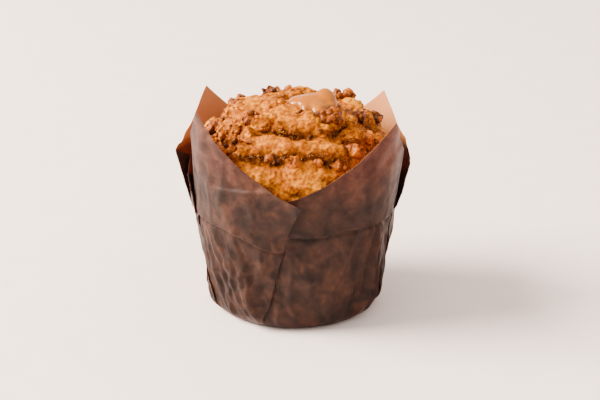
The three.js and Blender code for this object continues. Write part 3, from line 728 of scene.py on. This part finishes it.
def crown_frame(angle, radius):
    """A point of the smooth dome and its axes: round the dome, down it, and out of it."""
    step = 0.05
    radius = min(radius, CROWN_RADIUS - 2 * step)
    slope = (crown_z(radius + step) - crown_z(radius - step)) / (2 * step)
    round_axis = on_cup(angle + 90, 1, 0)
    out_axis = on_cup(angle, -slope, 1)
    out_axis /= np.linalg.norm(out_axis)
    axes = np.stack([round_axis, np.cross(out_axis, round_axis), out_axis])
    return on_cup(angle, radius, crown_z(radius)), axes


def ellipsoid(points, centre, axes, size):
    """Distance, nearly, to an ellipsoid with half sizes along three axes."""
    q = (points - centre.astype(np.float32)) @ axes.T.astype(np.float32)
    size = np.asarray(size, np.float32)
    scaled = np.linalg.norm(q / size, axis=-1)
    gradient = np.linalg.norm(q / size**2, axis=-1)
    return scaled * (scaled - 1) / np.maximum(gradient, 1e-6)


def smooth_union(a, b, width):
    blend = np.clip(0.5 + 0.5 * (b - a) / width, 0, 1)
    return lerp(b, a, blend) - width * blend * (1 - blend)


def wall_radius(z):
    """The baked crumb's radius below the dome."""
    slack = lerp(DOUGH_SLACK, SHOULDER_SLACK, smoothstep((z - 37) / 4))
    lower = HEEL_TOP_RADIUS + (z - HEEL_TOP_Z) * math.tan(WALL_LEAN) - slack
    return np.minimum(lower, CROWN_RADIUS)


def smooth_crown(points):
    """Distance, nearly, to the dome with no lumps on it, negative inside."""
    radius = np.linalg.norm(points[..., :2], axis=-1)
    height = points[..., 2] - CROWN_BASE
    rise = np.maximum(height, 0)
    scaled = (radius / CROWN_RADIUS) ** CROWN_FULLNESS + (rise / CROWN_RISE) ** CROWN_FULLNESS
    scaled = np.maximum(scaled, 1e-6) ** (1 / CROWN_FULLNESS)
    dome = np.hypot(radius, rise) * (1 - 1 / scaled)
    return np.where(height > 0, dome, radius - wall_radius(points[..., 2]))


def granular_at(points):
    """1 where clustered granules cover the crust, 0 where it is smooth."""
    total = np.zeros(len(points), np.float32)
    for angle, radius, size in GRANULAR:
        gap = np.linalg.norm(points - on_cup(angle, radius, crown_z(radius)).astype(np.float32), axis=-1)
        total = np.maximum(total, 1 - smoothstep((gap - 0.6 * size) / (0.6 * size)))
    return total


def crown_field(points):
    """The muffin's crown with its swells, cracks and crumbly crust, negative inside."""
    smooth = smooth_crown(points)
    field = np.full(smooth.shape, 9.0, np.float32)
    near = (smooth > -7) & (smooth < 5)
    field[smooth <= -7] = -9
    close = points[near]
    warped = close + 1.5 * noise_vector(close, 7.5, 20) + 0.6 * noise_vector(close, 3.1, 24)
    value = smooth_crown(warped) + 1.5 * smoothstep((close[:, 2] - 48) / 8)
    for angle, radius, across, down, rise in LUMPS:
        centre, axes = crown_frame(angle, radius)
        reach = max(across, down) + 6
        here = np.abs(warped - centre.astype(np.float32)).max(-1) < reach
        root = centre - axes[2] * LUMP_ROOT
        lump = ellipsoid(warped[here], root, axes, (across, down, rise + LUMP_ROOT))
        value[here] = smooth_union(value[here], lump, LUMP_BLEND)
    for angle, radius, across, down, deep in HOLLOWS:
        centre, axes = crown_frame(angle, radius)
        here = np.abs(warped - centre.astype(np.float32)).max(-1) < across + 5
        hollow = ellipsoid(warped[here], centre, axes, (across, down, deep))
        value[here] = -smooth_union(-value[here], hollow, HOLLOW_BLEND)
    rough = smoothstep((close[:, 2] - 44) / 8)
    crumb = 0.6 * (billow(close, 5.2, 31) - 0.45) + 0.4 * (billow(close, 2.5, 32) - 0.45)
    crumb += 0.26 * noise(close, 1.5, 33)
    clusters = 1.3 * (billow(close, 3.4, 34) - 0.5) + 0.8 * (billow(close, 1.9, 35) - 0.45)
    crumb += granular_at(close) * clusters
    field[near] = value - rough * crumb
    return field


def keep_inside_paper(points):
    """Points of the crown drawn in where they would go through the paper."""
    angle = np.degrees(np.arctan2(points[:, 0], -points[:, 1])) % 360
    radius = np.hypot(points[:, 0], points[:, 1])
    rise = points[:, 2] - TIN_DEPTH
    paper = cup_profile(CREASE_REACH, 0)[0] + np.maximum(rise, 0) * np.tan(lean_at(angle))
    paper = paper + np.minimum(rise, 0) * math.tan(WALL_LEAN) + crumple(angle, points[:, 2]) - PAPER_CLEARANCE
    drawn = np.where(points[:, 2] < 62, np.minimum(1, paper / np.maximum(radius, 1)), 1)
    return points * np.stack([drawn, drawn, np.ones_like(drawn)], -1)


def boundary_loop(faces):
    """The open edge of a mesh of triangles, as vertex numbers in order."""
    edges = np.concatenate([faces[:, [0, 1]], faces[:, [1, 2]], faces[:, [2, 0]]])
    forward = {(a, b) for a, b in edges.tolist()}
    follow = {a: b for a, b in forward if (b, a) not in forward}
    start = next(iter(follow))
    loop = [start]
    while follow[loop[-1]] != start:
        loop.append(follow[loop[-1]])
    return np.array(loop)


def sugar_at(points, normals):
    """How much pale sugar shows: a lot on the cap, little on the lobes lower down."""
    cap = 1 - smoothstep((np.linalg.norm(points[:, :2], axis=1) - 15) / 11)
    right = np.exp(-np.sum((points - on_cup(60, 27, 66)) ** 2, 1) / 90)
    left = np.exp(-np.sum((points - on_cup(292, 25, 67)) ** 2, 1) / 70)
    return np.clip(cap + 0.5 * right + 0.5 * left, 0, 1) * np.clip(0.45 + 0.75 * normals[:, 2], 0, 1)


def muffin_mesh(material):
    low, high = (-38, -38, SEAM_Z - 2), (38, 38, 86)
    points = grid_points(low, high, CROWN_VOXEL)
    vertices, quads = surface_of(crown_field(points), np.array(low), CROWN_VOXEL)
    quads = quads[(vertices[quads][:, :, 2] > SEAM_Z).all(1)]
    faces = np.concatenate([quads[:, [0, 1, 2]], quads[:, [0, 2, 3]]])
    used, faces = np.unique(faces, return_inverse=True)
    vertices, faces = vertices[used], faces.reshape(-1, 3)
    normals = vertex_normals(vertices, faces)
    fine = noise(vertices, 0.95, 41)
    grain = noise(vertices, 0.55, 42)
    rough = smoothstep((vertices[:, 2] - 44) / 6)
    vertices = vertices + normals * (rough * (0.2 * fine + 0.13 * grain))[:, None]
    vertices = keep_inside_paper(vertices)
    # Painted light and shade for the crust: lighter on swells that stand out of the smooth dome, darker down
    # in its cracks, a little darker where it faces up, and lifted to a lighter level low on the crown.
    low_down = 1 - smoothstep((vertices[:, 2] - 48) / 8)
    shade_and_tone = smooth_crown(vertices) - 0.4 * normals[:, 2] + 1.5 * low_down
    loop = boundary_loop(faces)
    ring = vertices[loop]
    turn = np.arctan2(ring[:, 1], ring[:, 0])
    heights = [28.0, 20.0, 12.0, 5.5]
    profile = [(float(wall_radius(z)), z) for z in heights]
    profile += [(HEEL_TOP_RADIUS - 2.6, 2.6), (BASE_FLAT_RADIUS - 0.6, DOUGH_SLACK + PAPER)]
    skirt = [np.stack([r * np.cos(turn), r * np.sin(turn), 0 * turn + z], -1) for r, z in profile]
    rings = [loop] + [len(vertices) + k * len(loop) + np.arange(len(loop)) for k in range(len(profile))]
    extra = []
    for upper, lower in zip(rings, rings[1:]):
        a, b, c, d = upper, np.roll(upper, -1), np.roll(lower, -1), lower
        extra += [np.stack([b, a, d], -1), np.stack([b, d, c], -1)]
    everything = np.concatenate([vertices, *skirt, [[0, 0, DOUGH_SLACK + PAPER]]])
    bottom = rings[-1]
    extra.append(np.stack([np.roll(bottom, -1), bottom, 0 * bottom + len(everything) - 1], -1))
    hidden = np.zeros(len(everything) - len(vertices))
    attributes = {
        "shade_and_tone": shade_and_tone,
        "grain": 0.6 * fine + 0.4 * grain,
        "sugar": sugar_at(vertices, normals),
        "granular": granular_at(vertices),
        # Painted shade: how far down in a hollow the crust lies.
        "cavity_shade": cavity_shade(vertices, faces, 14),
    }
    attributes = {key: np.concatenate([values, hidden]) for key, values in attributes.items()}
    obj = mesh_object("muffin_crumb", everything, np.concatenate([faces, *extra]), material, attributes)
    return obj, vertices, normals


# ---- What lies on the crown ----

CRUMB_VOXEL = 0.24
CARAMEL_VOXEL = 0.25


def box_of(node):
    low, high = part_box(node)
    return np.array(low) / MM, np.array(high) / MM


def crumb_mesh(name, node, seed, material):
    """A baked cluster of granules that fills the CAD crumb's box and reaches into the crust."""
    rng = np.random.default_rng(seed)
    low, high = box_of(node)
    centre, half = (low + high) / 2, (high - low) / 2
    angle = math.degrees(math.atan2(centre[0], -centre[1]))
    _, axes = crown_frame(angle, np.hypot(*centre[:2]))
    reach = half + 1.6
    points = grid_points(centre - reach - 1.5 * np.abs(axes[2]), centre + reach, CRUMB_VOXEL)
    low_corner = points[0, 0, 0].astype(float)
    warped = points.reshape(-1, 3)
    warped = warped + 0.45 * noise_vector(warped, 1.9, seed * 5)
    field = ellipsoid(warped, centre - 0.8 * axes[2], np.eye(3), np.maximum(half * 0.62, 1.0))
    count = int(9 + 2.1 * half.prod() ** (2 / 3))
    for _ in range(count):
        direction = rng.normal(size=3)
        direction /= np.linalg.norm(direction)
        size = rng.uniform(0.55, 1.25) * (0.75 + 0.1 * half.mean())
        spot = centre + direction * np.maximum(half - 0.8 * size, 0.3) * rng.uniform(0.75, 1.05)
        granule = np.linalg.norm(warped - spot.astype(np.float32), axis=-1) - size
        field = smooth_union(field, granule, 0.32)
    field = field - 0.16 * noise(warped, 0.8, seed * 5 + 3) - 0.22 * (billow(warped, 1.7, seed * 5 + 4) - 0.5)
    vertices, quads = surface_of(field.reshape(points.shape[:3]), low_corner, CRUMB_VOXEL)
    # Painted light and shade: each cluster is lighter on top and darker underneath, where it meets the crust,
    # and darker down in its hollows; the tone is the cluster's own colour, at random.
    depth = (vertices - centre) @ axes[2] / max(half.mean(), 1)
    tone = rng.uniform(-1.1, 0.5)
    attributes = {"shade_and_tone": depth + tone, "grain": noise(vertices, 0.7, seed * 5 + 6)}
    attributes["cavity_shade"] = cavity_shade(vertices, quads, 16)
    return mesh_object(name, vertices, quads, material, attributes)


def caramel_mesh(material):
    """Soft caramel, pulled up to a peak and running down towards the front."""
    low, high = box_of("caramel_chunk")
    centre, half = (low + high) / 2, (high - low) / 2
    points = grid_points(low - (1.5, 1.5, 3.0), high + 1.5, CARAMEL_VOXEL)
    flat = points.reshape(-1, 3)
    flat = flat + 0.5 * noise_vector(flat, 6, 60)
    blobs = [
        ((-0.12, 0.05, -0.25), (0.8, 0.66, 0.62)),
        ((-0.62, -0.1, -0.5), (0.34, 0.42, 0.4)),
        ((0.5, 0.2, 0.0), (0.4, 0.5, 0.72)),
        ((0.46, 0.2, 0.55), (0.2, 0.24, 0.42)),
        ((0.2, -0.62, -0.52), (0.4, 0.38, 0.46)),
        ((0.28, -1.0, -1.0), (0.3, 0.34, 0.5)),
        ((-0.25, -0.8, -0.9), (0.2, 0.3, 0.4)),
        ((-0.3, -0.5, -0.55), (0.2, 0.42, 0.36)),
        ((0.72, -0.1, -0.5), (0.25, 0.45, 0.45)),
        ((0.0, 0.0, -1.2), (0.7, 0.7, 0.5)),
    ]
    field = np.full(len(flat), 9.0, np.float32)
    for offset, size in blobs:
        blob = ellipsoid(flat, centre + half * offset, np.eye(3), half * size)
        field = smooth_union(field, blob, 1.7)
    corner = points[0, 0, 0].astype(float)
    vertices, quads = surface_of(field.reshape(points.shape[:3]), corner, CARAMEL_VOXEL)
    return mesh_object("caramel", vertices, quads, material)


def icosahedron():
    """Corners and outward triangles of an icosahedron of unit radius."""
    golden = (1 + 5**0.5) / 2
    corners = np.array([(0, s, t * golden) for s in (-1, 1) for t in (-1, 1)])
    corners = np.concatenate([np.roll(corners, k, 1) for k in range(3)]) / math.hypot(1, golden)
    faces = [
        (a, b, c)
        for a in range(12)
        for b in range(a + 1, 12)
        for c in range(b + 1, 12)
        if max(np.linalg.norm(corners[i] - corners[j]) for i, j in ((a, b), (b, c), (a, c))) < 1.1
    ]
    turned = []
    for a, b, c in faces:
        outward = np.dot(np.cross(corners[b] - corners[a], corners[c] - corners[a]), corners[a]) > 0
        turned.append((a, b, c) if outward else (a, c, b))
    return corners, np.array(turned)


def scatter_mesh(name, vertices, normals, count, sizes, keep, seed, material):
    """Many small granules lying on the crown."""
    rng = np.random.default_rng(seed)
    ball, ball_faces = icosahedron()
    chance = keep / keep.sum()
    chosen = rng.choice(len(vertices), count, replace=False, p=chance)
    size = rng.uniform(*sizes, (count, 1, 1)) * rng.uniform(0.7, 1.2, (count, 1, 3))
    wobble = rng.uniform(0.75, 1.2, (count, 12, 1))
    turn = np.linalg.qr(rng.normal(size=(count, 3, 3)))[0]
    shapes = np.einsum("nij,nkj->nki", turn, ball[None] * wobble * size)
    shapes += (vertices[chosen] + normals[chosen] * size.mean((1, 2))[:, None] * 0.35)[:, None]
    faces = ball_faces[None] + 12 * np.arange(count)[:, None, None]
    attributes = {
        "shade_and_tone": np.repeat(rng.uniform(-0.5, 1.0, count), 12),
        "grain": rng.uniform(-1, 1, count * 12),
    }
    return mesh_object(name, shapes.reshape(-1, 3), faces.reshape(-1, 3), material, attributes)


# ---- Materials ----


class Nodes:
    """A short way to write a material's nodes."""

    def __init__(self, name):
        self.material = bpy.data.materials.new(name)
        self.material.use_nodes = True
        self.tree = self.material.node_tree
        self.tree.nodes.clear()
        self.output = self.tree.nodes.new("ShaderNodeOutputMaterial")

    def connect(self, socket, value):
        """Link a socket to another, or set its value."""
        if isinstance(value, bpy.types.NodeSocket):
            self.tree.links.new(value, socket)
        else:
            socket.default_value = value

    def add(self, kind, inputs=None, **settings):
        node = self.tree.nodes.new("ShaderNode" + kind)
        for key, value in settings.items():
            setattr(node, key, value)
        for key, value in (inputs or {}).items():
            self.connect(node.inputs[key], value)
        return node

    def attribute(self, name):
        return self.add("Attribute", attribute_name=name).outputs["Fac"]

    def noise(self, scale, detail=4, roughness=0.55, vector=None, distortion=0.0):
        inputs = {"Scale": scale, "Detail": detail, "Roughness": roughness, "Distortion": distortion}
        inputs["Vector"] = vector or self.add("TexCoord").outputs["Object"]
        return self.add("TexNoise", inputs).outputs["Fac"]

    def ramp(self, factor, *stops):
        node = self.add("ValToRGB", {"Fac": factor})
        elements = node.color_ramp.elements
        while len(elements) < len(stops):
            elements.new(0.5)
        for element, (place, colour) in zip(elements, stops):
            element.position = place
            element.color = (*colour, 1)
        return node.outputs["Color"]

    def math(self, operation, a, b=0.0, c=0.0):
        node = self.add("Math", operation=operation)
        for k, value in enumerate((a, b, c)):
            self.connect(node.inputs[k], value)
        return node.outputs["Value"]

    def mix(self, factor, a, b, blend="MIX"):
        node = self.add("Mix", data_type="RGBA", blend_type=blend)
        for key, value in ((0, factor), (6, a), (7, b)):
            self.connect(node.inputs[key], (*value, 1) if isinstance(value, tuple) else value)
        return node.outputs[2]

    def baked(self, colour, fine, depth, roughness, specular, scatter, radius):
        """A finished surface of crumb: rough, hardly shiny, and lit through a little."""
        bump = self.add("Bump", {"Height": fine, "Strength": 0.5, "Distance": depth}).outputs["Normal"]
        inputs = {
            "Base Color": colour,
            "Roughness": roughness,
            "Specular IOR Level": specular,
            "Normal": bump,
            "Subsurface Weight": scatter,
            "Subsurface Scale": 0.001,
            "Subsurface Radius": radius,
        }
        return self.finish(self.add("BsdfPrincipled", inputs).outputs[0])

    def finish(self, shader):
        self.tree.links.new(shader, self.output.inputs["Surface"])
        return self.material


def paper_material():
    n = Nodes("baking_paper")
    across, along, inside = (n.attribute(key) for key in ("sheet_x", "sheet_y", "inside"))
    place = n.add("CombineXYZ", {"X": across, "Y": along, "Z": inside}).outputs["Vector"]
    broad = n.noise(55, 4, 0.6, place)
    stains = n.noise(150, 6, 0.68, place, 0.5)
    marks = n.noise(340, 4, 0.6, place)
    fibres = n.noise(1900, 3, 0.7, place)
    colour = n.ramp(
        n.math("MULTIPLY_ADD", stains, 0.65, n.math("MULTIPLY", broad, 0.35)),
        (0.38, (0.009, 0.005, 0.004)),
        (0.46, (0.021, 0.0095, 0.0065)),
        (0.54, (0.037, 0.0155, 0.0095)),
        (0.68, (0.072, 0.027, 0.013)),
    )
    blotch = n.ramp(marks, (0.35, (0.62, 0.62, 0.66)), (0.65, (1.3, 1.25, 1.2)))
    colour = n.mix(1.0, colour, blotch, "MULTIPLY")
    speck = n.ramp(fibres, (0.32, (0.7, 0.7, 0.7)), (0.7, (1.25, 1.25, 1.25)))
    colour = n.mix(1.0, colour, speck, "MULTIPLY")
    reach = n.math("SQRT", n.math("MULTIPLY_ADD", across, across, n.math("MULTIPLY", along, along)))
    paler = n.math("MAXIMUM", n.math("MULTIPLY_ADD", reach, 62, -3.9), 1)
    colour = n.mix(1.0, colour, paler, "MULTIPLY")
    lining = n.mix(0.8, colour, (0.64, 0.25, 0.08))
    colour = n.mix(inside, colour, lining)
    rough_up = n.math("ADD", fibres, marks)
    bump = n.add("Bump", {"Height": rough_up, "Strength": 0.35, "Distance": 0.00012}).outputs["Normal"]
    roughness = n.ramp(stains, (0.35, (0.58, 0.58, 0.58)), (0.65, (0.42, 0.42, 0.42)))
    base = n.add(
        "BsdfPrincipled",
        {
            "Base Color": colour,
            "Roughness": roughness,
            "Normal": bump,
            "Specular IOR Level": 0.14,
            "Sheen Weight": 0.03,
            "Sheen Roughness": 0.4,
        },
    )
    base.inputs["Sheen Tint"].default_value = (0.9, 0.75, 0.7, 1)
    glow = n.add("BsdfTranslucent", {"Color": (0.7, 0.2, 0.03, 1)})
    both = n.add("MixShader", {0: 0.16, 1: base.outputs[0], 2: glow.outputs[0]})
    return n.finish(both.outputs[0])


def crust_material():
    """Golden crust: pale where sugar lies on the cap, with painted light on its swells and painted shade,
    darker and more orange, down in its cracks.
    """
    n = Nodes("crumb")
    shade_and_tone, grain, sugar = (n.attribute(key) for key in ("shade_and_tone", "grain", "sugar"))
    broad = n.noise(110, 4, 0.6)
    fine = n.noise(900, 4, 0.7)
    # Painted light and shade: lighter on the crust's swells, darker in its cracks and hollows; the sugar, the
    # clusters of granules and the broad noise are the crust's own colour.
    level = n.math("MULTIPLY_ADD", shade_and_tone, 0.11, n.math("MULTIPLY_ADD", broad, 0.55, 0.02))
    level = n.math("MULTIPLY_ADD", sugar, 0.36, level)
    level = n.math("MULTIPLY_ADD", n.attribute("granular"), -0.10, level)
    level = n.math("MULTIPLY_ADD", n.attribute("cavity_shade"), -0.75, level)
    colour = n.ramp(
        level,
        (0.04, (0.035, 0.010, 0.001)),
        (0.22, (0.13, 0.032, 0.001)),
        (0.42, (0.32, 0.086, 0.0005)),
        (0.60, (0.50, 0.165, 0.0005)),
        (0.80, (0.63, 0.25, 0.004)),
        (1.0, (0.76, 0.38, 0.06)),
    )
    speck = n.ramp(
        n.math("MULTIPLY_ADD", grain, 0.3, fine), (0.3, (0.62, 0.5, 0.36)), (0.72, (1.2, 1.2, 1.2))
    )
    colour = n.mix(0.85, colour, speck, "MULTIPLY")
    return n.baked(colour, fine, 0.0002, 0.45, 0.05, 0.15, (1.0, 0.45, 0.18))


def streusel_material():
    """Caramelised granules, deep orange, with painted light on their tops and painted shade under them and in
    their hollows.
    """
    n = Nodes("streusel")
    shade_and_tone, grain = n.attribute("shade_and_tone"), n.attribute("grain")
    blotch = n.noise(260, 4, 0.6)
    fine = n.noise(1400, 3, 0.7)
    # Painted light and shade: lighter on the tops of the clusters, darker underneath and in their hollows;
    # grain, blotch and each piece's random tone are their own colour.
    level = n.math("MULTIPLY_ADD", shade_and_tone, 0.22, n.math("MULTIPLY_ADD", grain, 0.16, blotch))
    level = n.math("MULTIPLY_ADD", n.attribute("cavity_shade"), -0.8, level)
    colour = n.ramp(
        level,
        (0.2, (0.035, 0.008, 0.001)),
        (0.48, (0.17, 0.036, 0.0005)),
        (0.70, (0.38, 0.092, 0.0005)),
        (1.0, (0.68, 0.22, 0.003)),
    )
    return n.baked(colour, fine, 0.00015, 0.36, 0.12, 0.12, (1.0, 0.4, 0.12))


def caramel_material():
    n = Nodes("caramel")
    swirl = n.noise(120, 3, 0.5, distortion=0.8)
    colour = n.ramp(swirl, (0.35, (0.32, 0.085, 0.0005)), (0.7, (0.44, 0.135, 0.001)))
    shader = n.add(
        "BsdfPrincipled",
        {
            "Base Color": colour,
            "Roughness": 0.22,
            "Specular IOR Level": 0.2,
            "Subsurface Weight": 0.25,
            "Subsurface Scale": 0.002,
            "Subsurface Radius": (1.0, 0.4, 0.12),
            "Coat Weight": 0.2,
            "Coat Roughness": 0.08,
        },
    )
    return n.finish(shader.outputs[0])


def sugar_material():
    n = Nodes("sugar")
    shader = n.add(
        "BsdfPrincipled",
        {"Base Color": (0.8, 0.42, 0.15, 1), "Roughness": 0.15, "Transmission Weight": 0.4, "IOR": 1.5},
    )
    return n.finish(shader.outputs[0])


# ---- Stage ----

AIM = np.array([2.0, 0, 39.5]) * MM
VIEW_DISTANCE = 0.531
VIEW_ELEVATION = math.radians(20.5)


def add_stage():
    """A pale seamless floor that curves up far behind the object."""
    n = Nodes("studio_floor")
    grain = n.noise(60, 3, 0.5)
    colour = n.ramp(grain, (0.3, (0.92, 0.78, 0.73)), (0.7, (0.95, 0.81, 0.76)))
    shader = n.add("BsdfPrincipled", {"Base Color": colour, "Roughness": 0.7})
    material = n.finish(shader.outputs[0])
    width, front, back, curve, height = 6.0, -3.0, 2.2, 1.2, 3.0
    outline = [(front, 0.0)]
    outline += [
        (back + curve * math.sin(t), curve * (1 - math.cos(t))) for t in np.linspace(0, math.pi / 2, 24)
    ]
    outline.append((back + curve, height))
    points = [(x * width / MM, y / MM, z / MM) for y, z in outline for x in (-1, 1)]
    faces = [(2 * k, 2 * k + 1, 2 * k + 3, 2 * k + 2) for k in range(len(outline) - 1)]
    floor = mesh_object("studio_floor", np.array(points), faces, material)


def area_light(name, place, size, power, colour):
    data = bpy.data.lights.new(name, "AREA")
    data.shape, data.size, data.energy, data.color = "DISK", size, power, colour
    light = link_object(name, data)
    light.location = place
    light.rotation_euler = look_rotation(np.array(place) - AIM)


def look_rotation(backwards):
    """Rotation of a camera or a light whose back points along a direction."""
    return Vector(backwards).to_track_quat("Z", "Y").to_euler()


def add_lights():
    area_light("key", (-1.76, -0.06, 1.33), 1.5, 285, (1.0, 0.89, 0.79))
    world = bpy.data.worlds.new("studio")
    bpy.context.scene.world = world
    world.use_nodes = True
    background = world.node_tree.nodes["Background"]
    background.inputs["Color"].default_value = (1.0, 0.92, 0.86, 1)
    background.inputs["Strength"].default_value = 1.45


def add_camera():
    data = bpy.data.cameras.new("camera")
    data.lens, data.sensor_width = 85, 36
    camera = link_object("camera", data)
    back = np.array([0, -math.cos(VIEW_ELEVATION), math.sin(VIEW_ELEVATION)])
    camera.location = AIM + VIEW_DISTANCE * back
    camera.rotation_euler = look_rotation(back)
    bpy.context.scene.camera = camera


# ---- Build ----


def hand_over(piece, slot, *nodes):
    """Put a piece on the root body and hide the CAD nodes that it stands for; slot is not used."""
    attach(piece, "root")
    if nodes:
        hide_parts(*nodes)


hand_over(wrapper_mesh(paper_material()), "baking_paper", "tulip_wrapper")
muffin, crust, crust_normals = muffin_mesh(crust_material())
hand_over(muffin, "crumb", "muffin_body")
hand_over(caramel_mesh(caramel_material()), "caramel", "caramel_chunk")
streusel = streusel_material()
crumb_nodes = sorted(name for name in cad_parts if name.startswith("streusel_"))
for seed, node in enumerate(crumb_nodes, 100):
    hand_over(crumb_mesh(node + "_cluster", node, seed, streusel), "streusel", node)
SCATTER_Z = 57  # nothing is scattered on the crust below this
upward = np.clip(crust_normals[:, 2], 0, 1) * (crust[:, 2] > SCATTER_Z)
patches = np.clip(noise(crust, 8, 71) + 0.1, 0, 1) * (0.12 + granular_at(crust))
granules = scatter_mesh(
    "streusel_scatter", crust, crust_normals, 1500, (0.3, 1.0), upward * patches, 72, streusel
)
hand_over(granules, "streusel")
grains = scatter_mesh(
    "sugar_grains", crust, crust_normals, 2600, (0.13, 0.28), upward, 73, sugar_material()
)
hand_over(grains, "crumb")

add_stage()
add_lights()
add_camera()
